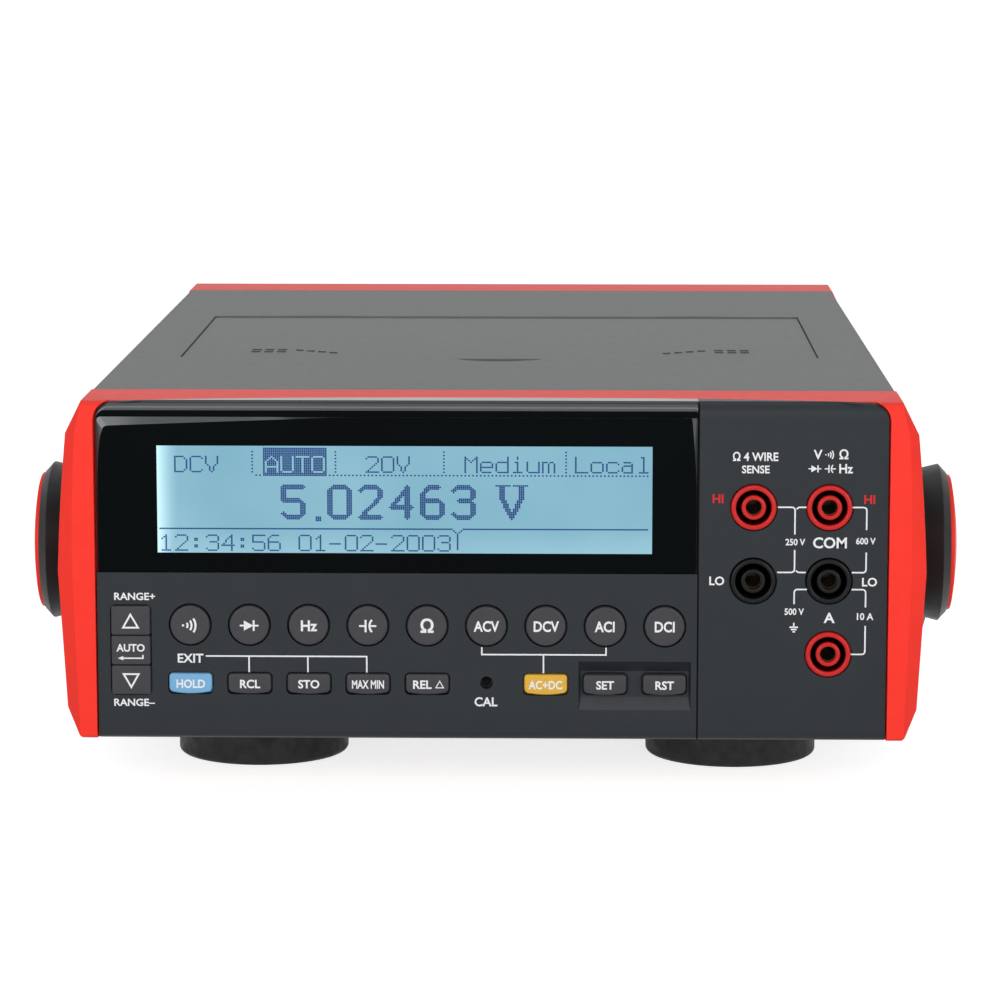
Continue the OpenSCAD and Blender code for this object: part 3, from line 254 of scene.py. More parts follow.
class Recipe:
    """Node tree of one material, with a Principled shader at its end."""

    def __init__(self, name, shade, roughness, level=0.5, metallic=0.0):
        self.material = bpy.data.materials.new(name)
        self.material.use_nodes = True
        self.material.diffuse_color = linear(shade)
        self.tree = self.material.node_tree
        self.shader = next(n for n in self.tree.nodes if n.type == "BSDF_PRINCIPLED")
        self.shade = linear(shade)
        self.set("Base Color", self.shade)
        self.set("Roughness", roughness)
        self.set("Specular IOR Level", level)
        self.set("Metallic", metallic)
        self.place = self.node("ShaderNodeTexCoord").outputs["Object"]

    def set(self, socket, value):
        """Writes a constant to one of the shader's own sockets."""
        self.shader.inputs[socket].default_value = value

    def join(self, source, socket):
        """Links an output to one of the shader's sockets."""
        self.tree.links.new(source, self.shader.inputs[socket])

    def node(self, kind, inputs=(), **settings):
        """Adds a node to the material's tree."""
        return add_node(self.tree, kind, inputs, **settings)

    def axis(self, letter):
        """The place along one axis, in metres."""
        return self.node("ShaderNodeSeparateXYZ", {"Vector": self.place}).outputs[letter]

    def reckon(self, operation, first, second, **settings):
        """One step of arithmetic with two numbers or outputs."""
        inputs = {0: first, 1: second}
        return self.node("ShaderNodeMath", inputs, operation=operation, **settings).outputs[0]

    def noise(self, size, detail=2.0):
        """Noise whose grains are about size metres across."""
        inputs = {"Vector": self.place, "Scale": 1 / size, "Detail": detail}
        return self.node("ShaderNodeTexNoise", inputs).outputs["Fac"]

    def spread(self, source, low, high, start=0.3, end=0.7):
        """Maps a value from start..end to low..high."""
        inputs = {"Value": source, "From Min": start, "From Max": end, "To Min": low, "To Max": high}
        return self.node("ShaderNodeMapRange", inputs).outputs["Result"]

    def cloud(self, size, detail=2.0, low=0.0, high=1.0):
        """Noise that wanders between low and high."""
        return self.spread(self.noise(size, detail), low, high)

    def blend(self, factor, first, second):
        """Mixes two colours by a factor."""
        # Sockets 6 and 7 of a mix node, and its output 2, are the ones for colours.
        inputs = {0: factor, 6: first, 7: second}
        return self.node("ShaderNodeMix", inputs, data_type="RGBA").outputs[2]

    def tint(self, factor, amount):
        """Lets the base colour wander up and down by a share."""
        low = (*(c * (1 - amount) for c in self.shade[:3]), 1)
        high = (*(min(c * (1 + amount), 1) for c in self.shade[:3]), 1)
        self.join(self.blend(factor, low, high), "Base Color")

    def emboss(self, height, depth, strength=1.0):
        """Bumps the surface by a height field that is depth metres deep."""
        inputs = {"Height": height, "Distance": depth, "Strength": strength}
        self.join(self.node("ShaderNodeBump", inputs).outputs["Normal"], "Normal")


def moulded(name, shade, roughness, grain, depth, level, mottle, strength=1.0):
    """Moulded plastic: tint and roughness wander slowly, under a fine pressed grain."""
    made = Recipe(name, shade, roughness, level)
    made.tint(made.cloud(0.009, 3), mottle)
    made.join(made.cloud(0.003, 2, roughness - mottle, roughness + mottle), "Roughness")
    made.emboss(made.noise(grain), depth, strength)
    return made.material


def metal(name, shade, roughness):
    """Plated or brushed metal with a roughness that follows fine scratches."""
    made = Recipe(name, shade, roughness, metallic=1.0)
    scratches = made.noise(0.0006, 4)
    made.join(made.spread(scratches, roughness * 0.7, roughness * 1.4), "Roughness")
    made.tint(made.cloud(0.004), 0.08)
    made.emboss(scratches, 0.00001, 0.3)
    return made.material


def laminate(name):
    """Green circuit board: lacquer over fine copper lanes made of stepped bands."""
    made = Recipe(name, rgb(30, 92, 58), 0.35)
    bands = made.node("ShaderNodeTexBrick", {
        "Vector": made.place, "Scale": 90.0, "Mortar Size": 0.02, "Color1": (0.012, 0.11, 0.04, 1),
        "Color2": (0.02, 0.16, 0.06, 1), "Mortar": (0.05, 0.3, 0.12, 1)}).outputs
    lacquer = made.blend(made.cloud(0.004, 3), bands["Color"], (0.015, 0.13, 0.05, 1))
    made.join(lacquer, "Base Color")
    made.emboss(bands["Fac"], 0.00004, 0.5)
    return made.material


def layered(name, shade, roughness, metallic, density, wobble, axis, mottle, depth):
    """Metal in level layers, wound wire or stacked sheets, seen as bands along one axis."""
    made = Recipe(name, shade, roughness, metallic=metallic)
    inputs = {"Vector": made.place, "Scale": density, "Distortion": wobble}
    bands = made.node("ShaderNodeTexWave", inputs, wave_type="BANDS", bands_direction=axis).outputs["Fac"]
    made.tint(bands, mottle)
    made.emboss(bands, depth)
    return made.material


def print_ink(name, shade):
    """Screen-printed ink: near-even colour with a faint uneven edge of roughness."""
    made = Recipe(name, shade, 0.55, 0.2)
    made.tint(made.cloud(0.001), 0.05)
    made.join(made.cloud(0.0005, 2, 0.45, 0.7), "Roughness")
    return made.material


def lens_gloss(name, shade, roughness, level):
    """Black moulded lens, polished on its face and softer along its edge."""
    made = Recipe(name, shade, roughness, level)
    made.join(made.cloud(0.03, 2, roughness - 0.03, roughness + 0.03), "Roughness")
    made.tint(made.cloud(0.05), 0.2)
    return made.material


def pocket_painted_shade(name, upper, lower):
    """The panel's plastic in the pocket with painted shade: dark under its brow, paler towards its lower
    lip.
    """
    made = Recipe(name, upper, 0.5, 0.1)
    (_, _, foot), (_, _, top) = span("key_set")
    height = made.reckon("ADD", made.axis("Z"), made.cloud(0.004, 2, -0.0006, 0.0006))
    share = made.spread(height, 0, 1, (foot - 2) * MM, (top + 1) * MM)
    made.join(made.blend(share, linear(lower), linear(upper)), "Base Color")
    made.emboss(made.noise(0.0006), 0.00002)
    return made.material


def backlight(name, looks):
    """Back-lit panel: pale near the lamps at its left end and lower edge, and even elsewhere."""
    (x0, z0), (x1, _) = np.array(display_area(looks)) * MM
    made = Recipe(name, looks.light, 0.25, 0.2)
    left = made.spread(made.axis("X"), 1, 0, x0, x0 + (x1 - x0) * 0.045)
    lower = made.spread(made.axis("Z"), 1, 0, z0, z0 + 0.006)
    lamps = made.reckon("MAXIMUM", made.reckon("POWER", left, 1.7), made.reckon("MULTIPLY", lower, 0.15))
    total = made.reckon("ADD", lamps, made.cloud(0.03, 2, 0, 0.13), use_clamp=True)
    paint = made.blend(total, linear(looks.light), linear(looks.glow))
    dark = made.blend(made.spread(total, 0.9, 0.8, 0, 1), paint, (0, 0, 0, 1))
    made.join(dark, "Base Color")
    made.join(paint, "Emission Color")
    made.set("Emission Strength", 0.9)
    return made.material


def dot_ink(name, shade):
    """Dark liquid-crystal dots, lit faintly from behind."""
    made = Recipe(name, shade, 0.3, 0.05)
    cloud = made.cloud(0.01)
    tone = made.blend(cloud, tuple(c * 0.9 for c in made.shade), made.shade)
    made.join(tone, "Emission Color")
    made.tint(cloud, 0.1)
    made.set("Emission Strength", 0.8)
    return made.material


def finish_recipes():
    """Maps each finish to the function that makes it and to the values that the function takes."""
    scene = bpy.context.scene
    case, keys, dots, ink = scene.meter_case, scene.meter_keys, scene.meter_display, scene.meter_legend
    return {
        "case": (moulded, case.case, 0.55, case.grain, 0.00005, 0.25, 0.02),
        "bezel": (moulded, case.bezel, 0.42, 0.0006, 0.00001, 0.07, 0.02),
        "panel": (moulded, case.panel, 0.42, 0.0006, 0.00002, 0.15, 0.03),
        # Painted shade: the pocket's floor is darkened towards its top, where its brow shades it.
        "pocket": (pocket_painted_shade, rgb(27, 30, 33), rgb(62, 63, 67)),
        "key": (moulded, keys.plain, 0.45, 0.0005, 0.00002, 0.2, 0.04),
        "key_blue": (moulded, keys.blue, 0.45, 0.0005, 0.00002, 0.3, 0.03),
        "key_amber": (moulded, keys.amber, 0.45, 0.0005, 0.00002, 0.3, 0.03),
        "jack_red": (moulded, keys.red, 0.25, 0.002, 0.00001, 0.2, 0.03, 0.4),
        "jack_black": (moulded, keys.black, 0.28, 0.002, 0.00001, 0.15, 0.1, 0.4),
        # Painted shade: darker copies of the jacks' plastics for the deep gap between collar and tube.
        "jack_red_depth": (moulded, rgb(66, 8, 10), 0.7, 0.002, 0.00001, 0.05, 0.1, 0.4),
        "jack_black_depth": (moulded, rgb(8, 8, 9), 0.7, 0.002, 0.00001, 0.05, 0.1, 0.4),
        "mark": (moulded, rgb(78, 80, 80), 0.6, 0.0006, 0.00002, 0.1, 0.02),
        "handle": (moulded, case.handle, 0.42, 0.0007, 0.00002, 0.25, 0.05),
        "foot": (moulded, case.rubber, 0.6, 0.0005, 0.00005, 0.35, 0.1),
        "black": (moulded, rgb(26, 26, 28), 0.45, 0.0006, 0.00004, 0.4, 0.08),
        "keypad": (moulded, rgb(118, 120, 122), 0.6, 0.0008, 0.00004, 0.3, 0.06),
        "relay": (moulded, rgb(40, 78, 122), 0.4, 0.001, 0.00002, 0.4, 0.05),
        "capacitor": (moulded, rgb(34, 36, 42), 0.3, 0.002, 0.00001, 0.5, 0.06),
        "cal_black": (moulded, rgb(12, 12, 13), 0.6, 0.0005, 0.00002, 0.1, 0.03),
        "lens": (lens_gloss, dots.lens, 0.07, 0.03),
        # Painted sheen on the lens's rolled edge and step, and the same sheen darkened as painted shade in
        # the hollow under the lip.
        "lens_edge": (lens_gloss, dots.rim, 0.16, 0.5),
        "lens_rim": (lens_gloss, dots.hollow_sheen_and_shade, 0.3, 0.2),
        "lens_lip": (lens_gloss, dots.lens, 0.15, 0.42),
        "lcd": (backlight, dots),
        "lcd_dots": (dot_ink, dots.dot),
        "board": (laminate,),
        "winding": (layered, rgb(176, 98, 44), 0.35, 0.85, 420.0, 0.4, "Z", 0.35, 0.0002),
        "core": (layered, rgb(104, 108, 112), 0.45, 0.9, 300.0, 0.2, "Y", 0.3, 0.0001),
        "plated": (metal, rgb(148, 151, 155), 0.34),
        "contact": (metal, rgb(104, 92, 72), 0.4),
        "screw": (metal, rgb(142, 146, 150), 0.35),
        "fuse_glass": (metal, rgb(196, 200, 204), 0.2),
        "white_ink": (print_ink, ink.white),
        "red_ink": (print_ink, ink.red),
    }


def finish(slot):
    """The material of a slot, made the first time that it is asked for."""
    name = "meter_" + slot
    known = bpy.data.materials.get(name)
    if known:
        return known
    make, *values = finish_recipes()[slot]
    return make(name, *values)


# ---- surfaces ----


def grid_faces(rows, columns, wrap_rows, wrap_columns):
    """Four-cornered faces of a grid of points, in which each point joins the next one on and down."""
    r = np.arange(rows if wrap_rows else rows - 1)
    c = np.arange(columns if wrap_columns else columns - 1)
    a, b = np.meshgrid(r, c, indexing="ij")
    down, on = (a + 1) % rows, (b + 1) % columns
    quads = np.stack([a * columns + b, a * columns + on, down * columns + on, down * columns + b], -1)
    return quads.reshape(-1, 4)


class Stock:
    """Gathers the closed surfaces of one piece, in millimetres, with a material number for each."""

    def __init__(self):
        self.points, self.faces, self.kinds, self.count = [], [], [], 0

    def add(self, points, faces, kind):
        """Adds points and the faces that join them."""
        points = np.asarray(points, float).reshape(-1, 3)
        self.points.append(points)
        self.faces += [(np.asarray(face) + self.count).tolist() for face in faces]
        self.kinds += [kind] * len(faces) if isinstance(kind, int) else kind
        self.count += len(points)

    def loft(self, loops, kind=0, ring=False):
        """Joins closed loops of equal length one after another, and closes the first and last with
        a flat face, or joins the last to the first for a ring. A list of kinds names the material of
        each band between two loops."""
        loops = np.asarray(loops, float)
        rows, columns = loops.shape[:2]
        faces = grid_faces(rows, columns, ring, True).tolist()
        if not ring:
            faces += [list(range(columns)), list(range((rows - 1) * columns, rows * columns))]
        if not isinstance(kind, int):
            kind = np.repeat(kind, columns).tolist()
        self.add(loops, faces, kind)

    def turned(self, profile, centre, steps, axis="y", kind=0, ring=False):
        """Turns a profile of (radius, place along the axis) through a full circle round centre. A list
        of kinds names the material of each stretch of the profile."""
        profile = np.asarray(profile, float)
        angle = np.linspace(0, 2 * np.pi, steps, endpoint=False)[:, None]
        across, up = profile[:, 0] * np.cos(angle), profile[:, 0] * np.sin(angle)
        along = np.broadcast_to(profile[:, 1], across.shape)
        order = {"x": (along, across, up), "y": (across, along, up), "z": (across, up, along)}[axis]
        points = np.stack(order, -1) + np.asarray(centre, float)
        if not isinstance(kind, int):
            kind = list(kind) * steps
        self.add(points, grid_faces(steps, len(profile), True, ring).tolist(), kind)

    def prism(self, shape, y, proud, kind):
        """A flat outline in X and Z, from a little behind y to proud in front of it."""
        self.loft([at_depth(shape, y - proud), at_depth(shape, y + SINK)], kind)

    def ribbon(self, path, width, y, proud, kind=0, closed=False):
        """A band of even width along a path in X and Z, mitred at its corners."""
        path = np.asarray(path, float)
        ahead = np.roll(path, -1, 0) - path
        behind = path - np.roll(path, 1, 0)
        if not closed:
            ahead[-1], behind[0] = behind[-1], ahead[0]
        unit = lambda v: v / np.linalg.norm(v, axis=1, keepdims=True)
        n0, n1 = (np.column_stack([-unit(v)[:, 1], unit(v)[:, 0]]) for v in (behind, ahead))
        mitre = unit(n0 + n1)
        mitre *= width / 2 / np.maximum(np.sum(mitre * n0, 1, keepdims=True), 0.3)
        left, right = path + mitre, path - mitre
        corners = [(left, y - proud), (right, y - proud), (right, y + SINK), (left, y + SINK)]
        self.loft(np.stack([at_depth(points, depth) for points, depth in corners], 1), kind, closed)

    def boxes(self, low, high, kind=0):
        """Many boxes at once, from arrays of their lowest and highest corners."""
        low, high = np.atleast_2d(low), np.atleast_2d(high)
        pick = np.array([[i, j, k] for i in (0, 1) for j in (0, 1) for k in (0, 1)])
        points = np.where(pick[None], high[:, None], low[:, None])
        sides = [[0, 1, 3, 2], [4, 6, 7, 5], [0, 4, 5, 1], [2, 3, 7, 6], [0, 2, 6, 4], [1, 5, 7, 3]]
        faces = np.array(sides)[None] + 8 * np.arange(len(points))[:, None, None]
        self.add(points, faces.reshape(-1, 4).tolist(), kind)

    def lettering(self, text, cap, x, z, y, proud, squeeze, bold=0.026, kind=1):
        """Upright words in the plane at y, cap tall and centred on x and z, with a little depth."""
        # A capital letter of the built-in typeface is 0.65 of its size tall.
        size = cap / 0.65
        curve = bpy.data.curves.new("words", "FONT")
        curve.body, curve.size, curve.offset = text, 1.0, bold
        curve.align_x, curve.extrude, curve.resolution_u = "CENTER", 0.5, 3
        holder = linked("words", curve)
        bpy.context.view_layer.update()
        mesh = bpy.data.meshes.new_from_object(holder.evaluated_get(bpy.context.evaluated_depsgraph_get()))
        raw = mesh_points(mesh)
        self.add(np.column_stack([
            x + raw[:, 0] * size * squeeze, y - proud + (0.5 - raw[:, 2]) * (proud + SINK),
            z - cap / 2 + raw[:, 1] * size]), [list(p.vertices) for p in mesh.polygons], kind)
        bpy.data.objects.remove(holder)
        bpy.data.meshes.remove(mesh)
        bpy.data.curves.remove(curve)

    def piece(self, name, slots, body, replaces=(), crease=32):
        """Makes the gathered surfaces one object with outward faces and creases above an angle."""
        mesh = bpy.data.meshes.new(name)
        mesh.from_pydata((np.concatenate(self.points) * MM).tolist(), [], self.faces)
        mesh.polygons.foreach_set("material_index", self.kinds)
        tidy(mesh, 1e-7)
        return place_piece(name, mesh, slots, body, replaces, crease)


def tidy(mesh, gap, flat=0.0):
    """Merges points closer than gap, melts flat neighbours together, and turns the faces outward."""
    work = bmesh.new()
    work.from_mesh(mesh)
    bmesh.ops.remove_doubles(work, verts=work.verts, dist=gap)
    bmesh.ops.dissolve_degenerate(work, edges=work.edges, dist=gap)
    if flat:
        bmesh.ops.dissolve_limit(work, angle_limit=flat, verts=work.verts, edges=work.edges)
    bmesh.ops.recalc_face_normals(work, faces=work.faces)
    work.to_mesh(mesh)
    work.free()


def linked(name, data):
    """A new object of the scene that holds the given data."""
    made = bpy.data.objects.new(name, data)
    bpy.context.scene.collection.objects.link(made)
    return made


def place_piece(name, mesh, slots, body, replaces, crease):
    """Puts a finished mesh in the scene on its body, with its materials."""
    for slot in slots:
        mesh.materials.append(finish(slot))
    mesh.polygons.foreach_set("use_smooth", np.ones(len(mesh.polygons), bool))
    mesh.set_sharp_from_angle(angle=math.radians(crease))
    mesh.update()
    made = linked(name, mesh)
    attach(made, body)
    if replaces:
        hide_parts(*replaces)
    return made


def dressed(node, name, slot, edge=0.25, crease=32):
    """A copy of a CAD node's mesh, merged, with a new finish. Its sharp edges are rounded by edge
    millimetres, or by the case's own rounding where edge is 0."""
    mesh = frame["nodes"][node].data.copy()
    mesh.name = name
    mesh.materials.clear()
    for spare in ("custom_normal", "sharp_face", "sharp_edge"):
        if spare in mesh.attributes:
            mesh.attributes.remove(mesh.attributes[spare])
    tidy(mesh, 2e-6, math.radians(0.3))
    mesh.polygons.foreach_set("material_index", np.zeros(len(mesh.polygons), int))
    made = place_piece(name, mesh, [slot], body_of(node), [node], crease)
    bevel = made.modifiers.new("edges", "BEVEL")
    bevel.width, bevel.segments = edge * MM or bpy.context.scene.meter_case.edge, 2
    bevel.limit_method, bevel.harden_normals = "ANGLE", True
    bevel.angle_limit, bevel.use_clamp_overlap = math.radians(min(crease + 4, 40)), True
    return made


def mesh_points(mesh):
    """The points of a mesh as rows of three numbers, in metres."""
    raw = np.empty(len(mesh.vertices) * 3)
    mesh.vertices.foreach_get("co", raw)
    return raw.reshape(-1, 3)


def move_points(mesh, points):
    """Gives a mesh's points new places."""
    mesh.vertices.foreach_set("co", points.ravel())
    mesh.update()


def refinish(node, slot):
    """Gives a CAD node a new material and leaves its mesh as it is."""
    holder = frame["nodes"][node]
    holder.data.materials.clear()
    holder.data.materials.append(finish(slot))


def arc(x, z, radius, start, end, steps):
    """Points on a circle round x and z, from one angle to another in degrees."""
    a = np.radians(np.linspace(start, end, steps + 1))
    return np.column_stack([x + radius * np.cos(a), z + radius * np.sin(a)])


def quarter(steps):
    """A quarter circle of radius 1 that rounds a front edge, as pairs of the distance in from the side
    and the depth behind the front, by one less the cosine and one less the sine of the turn."""
    turn = np.linspace(0, math.pi / 2, steps)
    return np.column_stack([1 - np.cos(turn), 1 - np.sin(turn)])


def outline(x0, x1, z0, z1, radii, sag=0.0):
    """Rectangle with a radius at each corner, from the lower left one round, as points in X and Z.
    The lower side hangs down by sag in its middle, along a parabola."""
    corners = ((x0, z0, 1, 1, 180), (x1, z0, -1, 1, 270), (x1, z1, -1, -1, 0), (x0, z1, 1, -1, 90))
    parts = [
        arc(x + sx * r, z + sz * r, r, start, start + 90, 6)
        for (x, z, sx, sz, start), r in zip(corners, radii)]
    if sag:
        t = np.linspace(-1, 1, 11)[1:-1]
        half = (x1 - x0) / 2 - (radii[0] + radii[1]) / 2
        lower = np.column_stack([(x0 + x1) / 2 + t * half, z0 - sag * (1 - t * t)])
        parts.insert(1, lower)
    return np.concatenate(parts)


def at_depth(points, y):
    """Lifts an outline in X and Z into space at depth y."""
    return np.column_stack([points[:, 0], np.full(len(points), y), points[:, 1]])


# ---- symbols of the legends ----


def symbol(stock, kind, x, z, y, proud, scale, ink=1):
    """Draws one of the usual electrical symbols, centred on x and z."""
    place = lambda points: np.asarray(points, float) * scale + (x, z)
    line = lambda points, width=0.42, closed=False: stock.ribbon(
        place(points), width * scale, y, proud, kind=ink, closed=closed)
    solid = lambda points: stock.prism(place(points), y, proud, kind=ink)
    if kind == "continuity":
        solid(arc(-1.75, 0, 0.3, 0, 337.5, 15))
        for radius in (1.15, 2.15, 3.15):
            line(arc(-1.75, 0, radius, -34, 34, 8), 0.5)
    elif kind == "diode":
        line([(-2.3, 0), (-1.25, 0)])
        solid([(-1.3, -1.25), (1.0, 0), (-1.3, 1.25)])
        line([(1.1, -1.3), (1.1, 1.3)], 0.46)
        line([(1.33, 0), (2.3, 0)])
    elif kind == "capacitor":
        line([(-2, 0), (-0.72, 0)])
        line([(-0.5, -1.45), (-0.5, 1.45)], 0.46)
        line(arc(2.45, 0, 2.05, 136, 224, 8), 0.46)
        line([(0.62, 0), (2, 0)])
    elif kind in ("up", "down"):
        tip = 1 if kind == "up" else -1
        line([(-1.75, -1.4 * tip), (1.75, -1.4 * tip), (0, 1.7 * tip)], 0.42, True)
    elif kind == "return":
        solid([(-3.3, -0.3), (-1.9, -0.85), (-1.9, 0.25)])
        line([(-1.95, -0.3), (3.0, -0.3), (3.0, 0.55)], 0.34)
    elif kind == "ground":
        line([(0, 0.25), (0, 1.2)], 0.4)
        for width, drop in ((1.15, 0), (0.75, -0.62), (0.35, -1.24)):
            line([(-width, drop), (width, drop)], 0.4)


# ---- dot characters ----

# Strokes of each character on a grid 7 wide and 10 high: each pair of digits is a point.
STROKES = {
    "0": "10 50 61 68 59 19 08 01 10", "1": "12 30 39,19 59", "2": "01 10 50 61 63 09 69",
    "3": "01 10 50 61 63 54 24,54 65 68 59 19 08", "4": "59 50 06 66",
    "5": "60 00 04 54 65 68 59 19 08", "6": "50 20 02 08 19 59 68 65 54 04",
    ":": "22 32 33 23,27 37 36 26", "-": "05 55", "A": "09 03 30 63 69,06 66",
    "C": "61 50 10 01 08 19 59 68", "D": "00 40 62 67 49 09 00", "L": "00 09 69",
    "M": "09 00 33 60 69", "O": "10 50 61 68 59 19 08 01 10", "T": "00 60,30 39",
    "U": "00 08 19 59 68 60", "V": "00 03 39 63 60", "a": "13 43 54 59,55 15 06 08 19 49 58",
    "c": "64 53 13 04 08 19 59 68", "d": "60 69,64 53 13 04 08 19 59 68",
    "e": "06 66 64 53 13 04 08 19 59", "i": "30 31,23 33 39,19 59", "l": "20 30 39,19 59",
    "m": "09 03,04 13 23 34 39,34 43 53 64 69", "o": "13 53 64 68 59 19 08 04 13",
    "u": "03 08 19 59 68,63 69",
}
# Words of the settings line, whose row is 6 dots down, by their first column, and the bounds between.
SETTING_WORDS, SETTING_ROW = {9: "DCV", 108: "20V", 159: "Medium", 216: "Local"}, 6
SETTING_BOUNDS = (49, 92, 148, 211)
# The reading: its digits by their first column, its row, its stretch over the small characters.
READING = {65: "5", 89: "0", 105: "2", 121: "4", 137: "6", 153: "3", 178: "V"}
READING_ROW, READING_STRETCH = 24, (10 / 6, 2.0)


def stroke_dots(dots, path, column, row, stretch=(1.0, 1.0), pen=0):
    """Darkens the dots along straight strokes between the path's points, with a pen shaped like a
    plus sign that reaches pen dots to each side."""
    path = np.asarray(path, float) * stretch
    for first, last in zip(path[:-1], path[1:]):
        steps = int(np.abs(last - first).max()) + 1
        line = np.rint(np.linspace(first, last, steps)).astype(int)
        for reach in range(-pen, pen + 1):
            dots[line[:, 1] + row + reach, line[:, 0] + column] = True
            dots[line[:, 1] + row, line[:, 0] + column + reach] = True


def write_dots(dots, text, column, row, stretch=(1.0, 1.0), pen=0):
    """Writes a line of characters into the dot field, from its first cell, one every 8 columns."""
    for place, character in enumerate(text):
        if character == " ":
            continue
        for stroke in STROKES[character].split(","):
            path = [(int(p[0]), int(p[1])) for p in stroke.split()]
            stroke_dots(dots, path, column + place * 8, row, stretch, pen)


def display_picture(columns, rows):
    """Dot field of the display: a line of settings, a large reading, and a clock line."""
    dots = np.zeros((rows, columns), bool)
    for column, text in SETTING_WORDS.items():
        write_dots(dots, text, column, SETTING_ROW)
    # The word AUTO stands clear in a dark block.
    dots[1:18, 55:88] = True
    clear = np.zeros_like(dots)
    write_dots(clear, "AUTO", 56, SETTING_ROW)
    dots[clear] = False
    # Dotted lines between the settings and under them.
    for column in SETTING_BOUNDS:
        dots[3:17:2, column] = True
    dots[17, 51:columns - 1:2] = True
    for column, character in READING.items():
        write_dots(dots, character, column, READING_ROW, READING_STRETCH, 1)
    # The decimal point, and the two bars over the reading's unit.
    dots[42:45, 82:85] = True
    dots[23, 175:183] = dots[23, 184:192] = True
    # A line that dips to the bound at the clock's right, and the clock line under it.
    dots[49, 1:153] = dots[49, 158:columns - 2] = True
    stroke_dots(dots, [(153, 50), (155, 52), (157, 50)], 0, 0)
    dots[52:62, 155] = True
    write_dots(dots, "12:34:56 01-02-2003", 1, 53)
    return dots


def display_area(looks):
    """Lowest and highest corner of the display's visible area, in X and Z, in millimetres."""
    low, high = span("lcd_module")
    inset = looks.border / MM + 1.6
    return (low[0] + inset, low[2] + inset), (high[0] - inset, high[2] - inset)


# ---- pieces ----


class MakeCase(bpy.types.Operator):
    """Rounds and paints the case, the plates, the feet and the rear panel, and paints what is inside"""

    bl_idname = "meter.case"
    bl_label = "Case"

    def execute(self, context):
        for node, values in ROUNDED.items():
            dressed(node, *values)
        for node, slot in PAINTED.items():
            refinish(node, slot)
        return {"FINISHED"}


class MakeLid(bpy.types.Operator):
    """Makes the storage lid with its raised grip marks"""

    bl_idname = "meter.lid"
    bl_label = "Storage lid"

    def execute(self, context):
        (low, high), middle = span("storage_lid"), centre_of("storage_lid")
        top, thick, band, growth = high[2], 1.5, 1.5, 0.14
        mesh = dressed("storage_lid", "lid_plate", "case", 0.12).data
        points = mesh_points(mesh)
        plate = points[:, 2] > (top - thick) * MM
        for axis in (0, 1):
            reach = (high - low)[axis] / 2 - band
            out = np.clip(np.abs(points[:, axis] / MM - middle[axis]) - reach, 0, 1)
            points[:, axis] += plate * out * np.sign(points[:, axis] - middle[axis] * MM) * growth * MM
        move_points(mesh, points)
        strokes = [[(x, y), (x - 2.5, y)] for x in (70.2, 66.6, 63) for y in (-36.6, -41.6)]
        strokes += [[(57.8 - 3.3 * i, -37.4 - 2 * i), (55.8 - 3.3 * i, -38.2 - 2 * i)] for i in range(4)]
        marks = Stock()
        for side in (-1, 1):
            for path in strokes:
                marks.ribbon(np.multiply(path, (side, 1)), 0.6, -top, 0.28)
        # The marks are drawn upright and then laid on the lid.
        marks.points = [np.column_stack([p[:, 0], p[:, 2], -p[:, 1]]) for p in marks.points]
        marks.piece("lid_marks", ["mark"], body_of("storage_lid"))
        return {"FINISHED"}


class MakePlates(bpy.types.Operator):
    """Makes the pocket's slanted floors and the lips of the front plates"""

    bl_idname = "meter.plates"
    bl_label = "Pocket and lips"

    def execute(self, context):
        self.slopes()
        self.lips()
        return {"FINISHED"}

    def slopes(self):
        """The floors that slant up from the two keys in the pocket to its lower and upper edges."""
        low, high = span("key_set")[0], span("key_reset")[1]
        shallow, deep, taper = FACE_Y + 0.06, FACE_Y + 1.2, 0.45
        stock = Stock()
        for edge, inner in ((low[2] - 3.75, low[2] + 0.3), (high[2] + 2.95, high[2] - 0.3)):
            wedge = [(edge, shallow), (inner, deep), (edge, deep)]
            stock.loft([[(x + side * (y - FACE_Y) * taper, y, z) for z, y in wedge]
                        for x, side in ((low[0] - 0.9, 1), (high[0] + 0.9, -1))])
        # The slopes carry the pocket's painted shade.
        stock.piece("pocket_slopes", ["pocket"], "chassis")

    def lips(self):
        """The plates' lips over the bezel, whose reach falls off with a power of the distance from the
        middle and which thin out at their ends, and a dark web in the seam between them that stands in for
        its shade."""
        stock, top = Stock(), span("front_bezel")[1][2] + 0.03
        left, right, tip = LENS_HIGH[0], TERMINAL_LOW[0], 94.5
        reach, half_width, power, thickness, bevel = 8.3, 98, 2.8, 0.53, 0.43
        for kind, x0, x1 in ((0, -tip, left), (1, right, tip)):
            loops = []
            for x in np.linspace(x0, x1, 48):
                rear = FACE_Y + 0.2 + reach * (1 - abs(x / half_width) ** power)
                front = min(FACE_Y + 2, rear - 0.45)
                thick = thickness * np.clip((tip + 0.5 - abs(x)) / 8, 0.1, 1)
                loops.append([(x, front, top - thick), (x, front, top - bevel * thick),
                              (x, front + 0.4, top), (x, rear, top), (x, rear, top - thick)])
            stock.loft(loops, kind)
        # A dark block in the seam between the plates: painted shade, which hides the red bezel behind.
        stock.boxes((left - 0.1, FACE_Y + 1.6, top - 12), (right + 0.1, FACE_Y + 2.3, top - 0.2), 2)
        stock.piece("upper_lips", ["lens_lip", "panel", "cal_black"], "chassis", crease=20)


